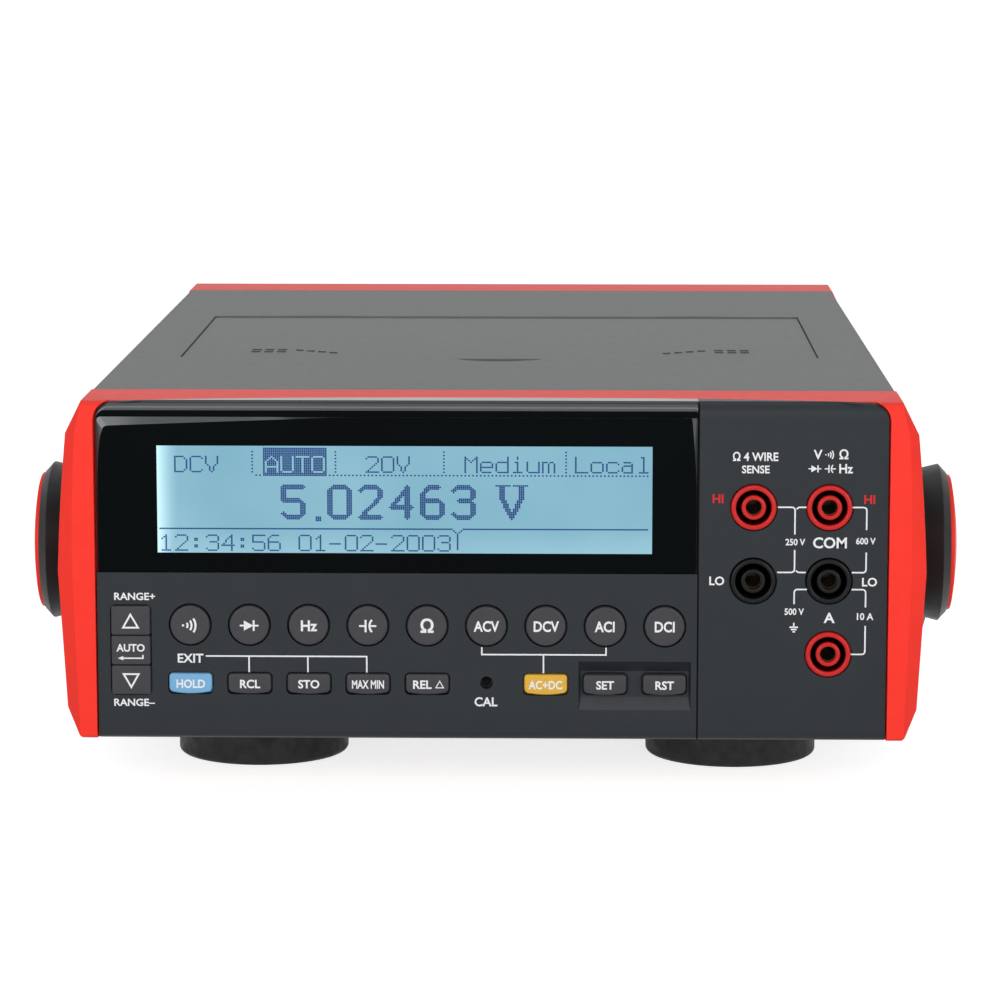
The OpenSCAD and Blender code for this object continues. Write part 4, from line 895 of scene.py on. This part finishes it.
def lens_loop(drop, sides, deep, corner, raised=0):
    """One loop round the lens, drop below its top and sides in from its sides, deep behind its face.
    The loop of the raised face stands in from its step: by an amount that grows linearly to the left
    along the top, and with a power of the height along the sides."""
    x0, x1, z0, z1 = LENS_LOW[0] + sides, LENS_HIGH[0] - sides, LENS_LOW[2], LENS_HIGH[2] - drop
    rise = lambda z: np.clip((z - z0) / (z1 - z0), 0, 1)
    left = lambda z: x0 + raised * (0.25 + 2.1 * rise(z) ** 6)
    right = lambda z: x1 - raised * (0.15 + 1.2 * np.clip(2 * rise(z) - 1, 0, 1) ** 1.5)
    top = lambda x: z1 - raised * 2.3 * np.clip(1 - (x - x0) / 62, 0, 1)
    t, small, foot = np.linspace(0, 1, 42)[1:-1], 0.4, z0 + 0.2 * raised
    xa, xb = left(top(x0)) + corner, right(z1) - small
    x, za = xb + t * (xa - xb), top(xa) - corner
    z, zb = za + t * (foot + small - za), foot + small + t * (z1 - foot - 2 * small)
    points = np.concatenate([
        arc(xb, z1 - small, small, 0, 90, 4), np.column_stack([x, top(x)]),
        arc(xa, za, corner, 90, 180, 10),
        np.column_stack([left(z), z]), arc(left(foot) + small, foot + small, small, 180, 270, 4),
        arc(right(foot) - small, foot + small, small, 270, 360, 4), np.column_stack([right(zb), zb])])
    return at_depth(points, LENS_LOW[1] + deep * (1 - raised))


def window_loop(low, high):
    """The points of a lens loop, moved to the four corners and the sides of the window."""
    t = np.linspace(0, 1, 42)[1:-1, None]
    corners = [np.array(c) for c in (high, (low[0], high[1]), low, (high[0], low[1]))]
    still = lambda k, n: np.repeat(corners[k][None], n, 0)
    between = lambda a, b: corners[a] + t * (corners[b] - corners[a])
    return np.concatenate([still(0, 5), between(0, 1), still(1, 11), between(1, 2), still(2, 5),
                           still(3, 5), between(3, 0)])


class MakeLens(bpy.types.Operator):
    """Makes the glossy lens: a rolled top, a groove, and a raised face with a window for the display"""

    bl_idname = "meter.lens"
    bl_label = "Lens"

    def execute(self, context):
        low, high = display_area(context.scene.meter_display)
        step, corner, drop, side, rounding = 0.7, 4.5, 2.2, 0.15, 1.5
        roll, hollow = 14, 7
        loops = [lens_loop(0, 0, LENS_HIGH[1] - LENS_LOW[1], corner)]
        for share, (inset, sink) in zip(np.linspace(0, 1, roll + 1), quarter(roll + 1)):
            loops.append(lens_loop(drop * inset, side * share, step + rounding * sink, corner - 2 * share))
        loops += [lens_loop(3.9, 0.2, step, 1.3, raised) for raised in (0, 1)]
        window = window_loop(low, high)
        loops += [at_depth(window, LENS_LOW[1]), at_depth(window, LENS_HIGH[1])]
        stock = Stock()
        # After the roll come the shelf, the step up to the face, the face, the window's wall, the back.
        # The roll and the step carry painted sheen, and the roll's upper bands under the lip a darker
        # painted shade.
        stock.loft(loops, [2] * hollow + [1] * (roll + 1 - hollow) + [0, 1, 0, 0, 0], ring=True)
        stock.piece("lens_frame", ["lens", "lens_edge", "lens_rim"], "chassis", ["display_lens"], 13)
        return {"FINISHED"}


class MakeDisplay(bpy.types.Operator):
    """Makes the back-lit pane in the lens and the dark dots on it"""

    bl_idname = "meter.display"
    bl_label = "Display"

    def execute(self, context):
        looks = context.scene.meter_display
        low, high = display_area(looks)
        face, behind, slack, thick = LENS_LOW[1] + 0.06, span("lcd_module")[0][1], 0.02, 0.03
        pane = Stock()
        pane.boxes((low[0] + slack, face, low[1] + slack), (high[0] - slack, behind, high[1] - slack))
        pane.piece("display_pane", ["lcd"], "chassis")
        row, column = np.nonzero(display_picture(looks.columns, looks.rows))
        wide, tall = (high[0] - low[0]) / looks.columns, (high[1] - low[1]) / looks.rows
        centre = np.column_stack([
            low[0] + (column + 0.5) * wide, np.full(len(row), face), high[1] - (row + 0.5) * tall])
        half = np.array([wide * looks.fill / 2, thick, tall * looks.fill / 2])
        picture = Stock()
        picture.boxes(centre - half, centre + half)
        picture.piece("display_dots", ["lcd_dots"], "chassis")
        return {"FINISHED"}


class MakeKeys(bpy.types.Operator):
    """Makes the round, oblong and stacked keys with their legends"""

    bl_idname = "meter.keys"
    bl_label = "Keys"

    def execute(self, context):
        looks, ink = context.scene.meter_keys, context.scene.meter_legend
        self.side = (looks.gap + looks.flange) / MM
        self.edge, self.proud = looks.edge / MM, ink.proud / MM
        for make, keys in (
                (self.round_key, ROUND_KEYS), (self.oblong_key, OBLONG_KEYS), (self.range_key, RANGE_KEYS)):
            for name, legend in keys.items():
                stock, node = Stock(), "key_" + name
                (low, high), (x, _, z) = span(node), centre_of(node)
                make(stock, low, high, x, z, *legend)
                slots = [KEY_COLOURS.get(name, "key"), "white_ink"]
                stock.piece(name + "_key", slots, body_of(node), [node])
        return {"FINISHED"}

    def flange(self, low, high, corners, sag=0.0):
        """The first two loops of a key: the flat flange that holds it behind the plate."""
        shape = outline(low[0], high[0], low[2], high[2], corners, sag)
        return [at_depth(shape, high[1]), at_depth(shape, high[1] - FLANGE)]

    def round_key(self, stock, low, high, x, z, words, cap, size):
        """A turned key: flange, straight side, rounded edge, and a face dished by a hair."""
        wide, front, back, slack = (high[0] - low[0]) / 2, low[1], high[1], 0.12
        radius, level = wide - self.side - slack, front + 0.05
        rim = [(radius - self.edge * inset, front + self.edge * sink) for inset, sink in quarter(6)]
        dish = [(radius * t, front + 0.06 * (1 - t * t)) for t in (0.8, 0.6, 0.4, 0.2, 0)]
        flange = [(0, back), (wide, back), (wide, back - FLANGE), (radius, back - FLANGE)]
        stock.turned([*flange, *rim, *dish], (x, 0, z), 64)
        if cap:
            stock.lettering(words, cap, x, z - 0.1, level, self.proud + 0.05, size)
        else:
            symbol(stock, words, x, z - 0.05, level, self.proud + 0.05, size)

    def oblong_key(self, stock, low, high, x, z, words, squeeze):
        """A lofted key: rounded upper and side edges, and a lower side that slants and hangs."""
        hw, hh = (high[0] - low[0]) / 2 - self.side, (high[2] - low[2]) / 2 - self.side
        front, foot, sag, corners = low[1], z - hh + 0.3, 0.4, (1.2, 1.2, 0.9, 0.9)
        loops = self.flange(low, high, (1, 1, 1, 1), 0.01)
        block = outline(x - hw, x + hw, foot, z + hh, corners, sag)
        loops.append(at_depth(block, high[1] - FLANGE - 0.001))
        for turn, sink in quarter(6):
            inset = self.edge * turn
            loop = outline(x - hw + inset, x + hw - inset, foot + 0.35 * turn, z + hh - inset,
                           corners, sag * (1 - 0.4 * turn))
            hang = np.clip((z - hh + 2.2 - loop[:, 1]) / 1.2, 0, 1)
            loops.append(at_depth(loop, front + (self.edge + 0.1 * hang) * sink))
        stock.loft(loops)
        # The word REL stands left of the middle and leaves room for its triangle.
        shift, rise = -1.35 if words == "REL" else 0, z - 0.12
        stock.lettering(words, 1.95, x + shift, rise, front, self.proud, squeeze)
        if shift:
            symbol(stock, "up", x + 3.2, rise + 0.02, front, self.proud, 0.56)

    def range_key(self, stock, low, high, x, z, words):
        """One of the three stacked keys: a flange and a block with finely rounded edges."""
        hw, hh = (high[0] - low[0]) / 2 - self.side, (high[2] - low[2]) / 2 + 0.08
        front, corners = low[1], (0.5,) * 4
        loops = self.flange(low, high, corners)
        for inset, sink in 0.3 * quarter(5):
            block = outline(x - hw + inset, x + hw - inset, z - hh + inset, z + hh - inset, corners)
            loops.append(at_depth(block, front + sink))
        stock.loft(loops)
        if words == "AUTO":
            stock.lettering(words, 1.75, x, z + 0.6, front, self.proud, 0.96)
            symbol(stock, "return", x, z - 1.75, front, self.proud, 1.03)
        else:
            symbol(stock, words, x, z - (0.3 if words == "up" else 0), front, self.proud, 1.1)


# Legends of the key plate: words, height, place in X and Z, squeeze, and 0 for white ink.
KEY_PLATE_WORDS = (
    ("RANGE+", 1.7, -91.3, 54.55, 1.06, 0), ("RANGE–", 1.7, -91.8, 26.9, 1.06, 0),
    ("EXIT", 2.1, -77.2, 38.5, 1.02, 0), ("CAL", 2.1, -1.4, 27.4, 0.98, 0))
KEY_PLATE_LINES = (
    ((-73.2, 39.15), (-31.9, 39.15), (-31.9, 35.0)), ((-62.1, 38.96), (-62.1, 35.0)),
    ((-47.0, 38.96), (-47.0, 35.0)), ((-2.4, 41.7), (-2.4, 39.8), (29.4, 39.8), (29.4, 41.7)),
    ((13.4, 39.61), (13.4, 35.0)))
# Legends of the terminal plate, in the same order, with 1 for red ink.
TERMINAL_WORDS = (
    ("Ω 4 WIRE", 1.95, 67.1, 91.1, 0.92, 0), ("SENSE", 1.8, 67.2, 87.85, 0.95, 0),
    ("V", 2.15, 82.95, 91.7, 1, 0), ("Ω", 2.15, 89.5, 91.7, 1, 0), ("Hz", 2.15, 90.0, 88.1, 0.95, 0),
    ("HI", 2.05, 57.7, 80.3, 1, 1), ("HI", 2.05, 96.2, 80.2, 1, 1), ("LO", 2.0, 57.5, 59.1, 1, 0),
    ("LO", 2.0, 96.4, 58.9, 1, 0), ("COM", 2.5, 86.3, 69.0, 1, 0), ("A", 2.4, 86.3, 49.6, 1.05, 0),
    ("250 V", 1.5, 77.4, 69.2, 0.9, 0), ("600 V", 1.5, 95.3, 69.5, 0.9, 0),
    ("500 V", 1.5, 77.3, 51.2, 0.9, 0), ("10 A", 1.6, 95.2, 50.0, 0.95, 0))
# Symbols of the terminal plate: kind, place in X and Z, scale.
TERMINAL_SYMBOLS = (
    ("continuity", 86.0, 91.7, 0.6), ("diode", 82.2, 88.1, 0.7), ("capacitor", 86.1, 88.1, 0.7),
    ("ground", 77.3, 47.2, 0.95))
# Bracket lines between the jacks: the start, a rounded corner's middle in X and Z with the angles
# between which it turns, and the end of a line that runs on.
BRACKETS = (
    ((72.9, 78.2), (76.5, 77.4, 90, 0), (77.3, 71.2)), ((80.2, 78.2), (78.5, 77.4, 90, 160)),
    ((77.3, 67.2), (76.5, 62.2, 0, -90), (72.9, 61.4)), ((80.2, 61.4), (78.5, 62.2, 270, 200)),
    ((91.9, 78.2), (94.7, 77.4, 90, 0), (95.5, 72.4)), ((95.5, 66.6), (94.7, 62.2, 0, -90), (91.9, 61.4)),
    ((80.5, 57.0), (78.1, 56.2, 90, 180), (77.3, 53.2)), ((91.9, 57.0), (94.7, 56.2, 90, 0), (95.5, 52.4)),
    ((95.5, 47.6), (94.7, 41.0, 0, -90), (91.9, 40.2)))


class MakeLegends(bpy.types.Operator):
    """Prints the legends and thin lines on the key plate and the terminal plate"""

    bl_idname = "meter.legends"
    bl_label = "Legends"

    def execute(self, context):
        ink = context.scene.meter_legend
        proud, line, bend = ink.proud / MM, ink.line / MM, 0.8
        brackets = [(first, *arc(x, z, bend, a, b, 5), *last) for first, (x, z, a, b), *last in BRACKETS]
        inks = ["white_ink", "red_ink"]
        for name, slots, words, symbols, paths in (
                ("key_plate_print", inks[:1], KEY_PLATE_WORDS, (), KEY_PLATE_LINES),
                ("terminal_print", inks, TERMINAL_WORDS, TERMINAL_SYMBOLS, brackets)):
            stock = Stock()
            for text, cap, x, z, squeeze, kind in words:
                stock.lettering(text, cap, x, z, FACE_Y, proud, squeeze, 0.022, kind)
            for kind, x, z, scale in symbols:
                symbol(stock, kind, x, z, FACE_Y, proud, scale, 0)
            for path in paths:
                stock.ribbon(path, line, FACE_Y, proud)
            stock.piece(name, slots, "chassis")
        return {"FINISHED"}


class MakeJacks(bpy.types.Operator):
    """Makes the five safety jacks"""

    bl_idname = "meter.jacks"
    bl_label = "Jacks"

    def execute(self, context):
        for name, shade in JACKS.items():
            self.jack(name, "jack_" + name, "jack_" + shade)
        return {"FINISHED"}

    def jack(self, name, node, slot):
        """Turns the collar, the deep shroud gap and the inner tube in one closed profile."""
        (low, high), (x, _, z) = span(node), centre_of(node)
        front, back, seat = low[1], high[1], TERMINAL_HIGH[1]
        wide, collar, bore, tube, hole = (high[0] - low[0]) / 2, 5.8, 4.5, 3.15, 2.05
        ring = [
            (hole + 0.5, back), (collar - 0.6, back), (collar - 0.6, seat + 1.6), (wide, seat + 1.6),
            (wide, seat), (collar, seat), *arc(collar - 0.6, front + 0.6, 0.6, 0, -90, 4),
            *arc(bore + 0.5, front + 0.5, 0.5, -90, -180, 4)]
        gap = [(bore, front + 1.1), (bore, front + 14), (tube, front + 14)]
        inner = [
            (tube, front + 1.3), *arc(tube - 0.45, front + 0.65, 0.45, 0, -90, 4),
            *arc(hole + 0.3, front + 0.5, 0.3, -90, -180, 4), (hole, front + 2.5),
            (hole + 0.5, front + 2.5)]
        # The deep gap gets a darker copy of the jack's plastic: painted shade.
        kinds = [0] * len(ring) + [1] * len(gap) + [0] * len(inner)
        stock = Stock()
        stock.turned(ring + gap + inner, (x, 0, z), 72, kind=kinds, ring=True)
        stock.piece(name + "_jack", [slot, slot + "_depth"], body_of(node), [node], 40)


class MakeHandle(bpy.types.Operator):
    """Rounds and paints the handle, and makes the domed caps that stand out of its round ends"""

    bl_idname = "meter.handle"
    bl_label = "Handle"

    def execute(self, context):
        mesh = dressed("handle", "carry_handle", "handle", 0.3).data
        rim, (low, high), (_, y, z) = span("handle")[1][0], span("handle_caps"), centre_of("handle_caps")
        points = mesh_points(mesh)
        reach, ridge = np.abs(points[:, 0]), (rim - 2.8) * MM
        drawn_in = (ridge + (reach - ridge) * 0.75) / np.maximum(reach, MM)
        points[:, 0] *= np.where(reach > ridge, drawn_in, 1)
        move_points(mesh, points)
        radius, foot, edge = (high[1] - low[1]) / 2, rim - 0.15, 0.5
        rise = high[0] - foot - edge
        rounding = [(radius - edge * inset, foot + edge * (1 - sink)) for inset, sink in quarter(6)]
        dome = [((radius - edge) * t, foot + edge + rise * (1 - t * t))
                for t in np.linspace(1, 0, 16)[1:]]
        profile = np.array([(0, rim - 2.4), (radius, rim - 2.4), *rounding, *dome])
        stock = Stock()
        for side in (1, -1):
            stock.turned(profile * (1, side), (0, y, z), 96, "x")
        stock.piece("hub_caps", ["bezel"], body_of("handle_caps"), ["handle_caps"])
        return {"FINISHED"}


# ---- stage ----


def softbox(name, place, target, size, power):
    """A flat lamp at place that looks at target."""
    lamp = bpy.data.lights.new(name, "AREA")
    lamp.shape, lamp.size, lamp.size_y, lamp.energy = "RECTANGLE", size[0], size[1], power
    holder = linked(name, lamp)
    forward = np.asarray(target, float) - np.asarray(place, float)
    holder.location = place
    holder.rotation_euler = (math.atan2(math.hypot(forward[0], forward[1]), -forward[2]), 0,
                             math.atan2(forward[1], forward[0]) - math.pi / 2)


def seen_directly(tree):
    """1 for rays from the camera, or by way of gloss or glass, and 0 for the light in the room."""
    path = add_node(tree, "ShaderNodeLightPath").outputs
    total = path["Is Camera Ray"]
    for name in ("Is Glossy Ray", "Is Transmission Ray"):
        both = {0: total, 1: path[name]}
        total = add_node(tree, "ShaderNodeMath", both, operation="ADD", use_clamp=True).outputs[0]
    return total


class MakeStage(bpy.types.Operator):
    """Lays the pale floor and sets the lamps, the room and the camera"""

    bl_idname = "meter.stage"
    bl_label = "Stage"

    def execute(self, context):
        looks, scene = context.scene.meter_stage, context.scene
        self.floor()
        self.room(scene, looks.sky)
        softbox("lamp_overhead", (0, 0.1, 1.3), (0, 0, 0), (1.6, 1.2), looks.overhead)
        softbox("lamp_left", (-0.9, -1.7, 0.45), (0, 0, 0.05), (0.9, 0.8), looks.front)
        softbox("lamp_right", (1.0, -1.6, 0.45), (0, 0, 0.05), (0.9, 0.8), looks.front)
        softbox("lamp_brow", (0, -1.9, 0.85), (0, -0.15, 0.08), (1.2, 0.5), looks.brow)
        camera = bpy.data.cameras.new("camera")
        camera.lens, camera.sensor_width, camera.clip_end = looks.lens, 36, 200
        scene.camera = linked("camera", camera)
        scene.camera.location, scene.camera.rotation_euler = looks.place, looks.turn
        scene.view_settings.view_transform = "Standard"
        return {"FINISHED"}

    def floor(self):
        """A wide flat floor, white where light falls on it and grey in the object's shadow."""
        mesh, reach = bpy.data.meshes.new("floor"), 60.0
        corners = [(x * reach, y * reach, 0) for x, y in ((-1, -1), (1, -1), (1, 1), (-1, 1))]
        mesh.from_pydata(corners, [], [(0, 1, 2, 3)])
        material = bpy.data.materials.new("floor_paper")
        material.use_nodes = True
        tree = material.node_tree
        tree.nodes.clear()
        paper = add_node(tree, "ShaderNodeBsdfDiffuse", {"Color": (0.82, 0.82, 0.82, 1)})
        lift = add_node(tree, "ShaderNodeMath", {0: seen_directly(tree), 1: 0.78}, operation="MULTIPLY")
        shine = add_node(tree, "ShaderNodeEmission", {"Strength": lift.outputs[0]})
        both = add_node(tree, "ShaderNodeAddShader", {0: paper.outputs[0], 1: shine.outputs[0]})
        add_node(tree, "ShaderNodeOutputMaterial", {"Surface": both.outputs[0]})
        mesh.materials.append(material)
        linked("floor", mesh)

    def room(self, scene, level):
        """White where it is seen, and a plain grey light elsewhere."""
        world = bpy.data.worlds.new("room")
        world.use_nodes = True
        tree = world.node_tree
        shade = next(n for n in tree.nodes if n.type == "BACKGROUND")
        mix = {"Value": seen_directly(tree), "To Min": level, "To Max": 1.0}
        strength = add_node(tree, "ShaderNodeMapRange", mix).outputs["Result"]
        tree.links.new(strength, shade.inputs["Strength"])
        shade.inputs["Color"].default_value = (1, 1, 1, 1)
        scene.world = world


# ---- add-on ----

PIECES = (
    MakeCase, MakeLid, MakePlates, MakeLens, MakeDisplay, MakeKeys, MakeLegends, MakeJacks, MakeHandle,
    MakeStage)
SETTINGS = {
    "meter_case": CaseSettings, "meter_keys": KeySettings, "meter_display": DisplaySettings,
    "meter_legend": LegendSettings, "meter_stage": StageSettings}


class MeterPanel(bpy.types.Panel):
    """Settings and pieces of the bench multimeter"""

    bl_idname = "VIEW3D_PT_bench_meter"
    bl_label = "Bench Meter"
    bl_space_type = "VIEW_3D"
    bl_region_type = "UI"
    bl_category = "Bench Meter"

    def draw(self, context):
        for name, group in SETTINGS.items():
            box = self.layout.box()
            box.label(text=group.__doc__.rstrip("."))
            for key in group.__annotations__:
                box.prop(getattr(context.scene, name), key)
        for operator in PIECES:
            self.layout.operator(operator.bl_idname)


def register():
    """Registers the settings, the operators and the panel."""
    for name, group in SETTINGS.items():
        bpy.utils.register_class(group)
        setattr(bpy.types.Scene, name, PointerProperty(type=group))
    for kind in (*PIECES, MeterPanel):
        bpy.utils.register_class(kind)


def unregister():
    """Takes back what register added."""
    for kind in (MeterPanel, *reversed(PIECES)):
        bpy.utils.unregister_class(kind)
    for name, group in SETTINGS.items():
        delattr(bpy.types.Scene, name)
        bpy.utils.unregister_class(group)


def main():
    """Registers the add-on and makes every piece in order."""
    register()
    for operator in PIECES:
        area, name = operator.bl_idname.split(".")
        getattr(getattr(bpy.ops, area), name)()


if __name__ == "__main__":
    main()
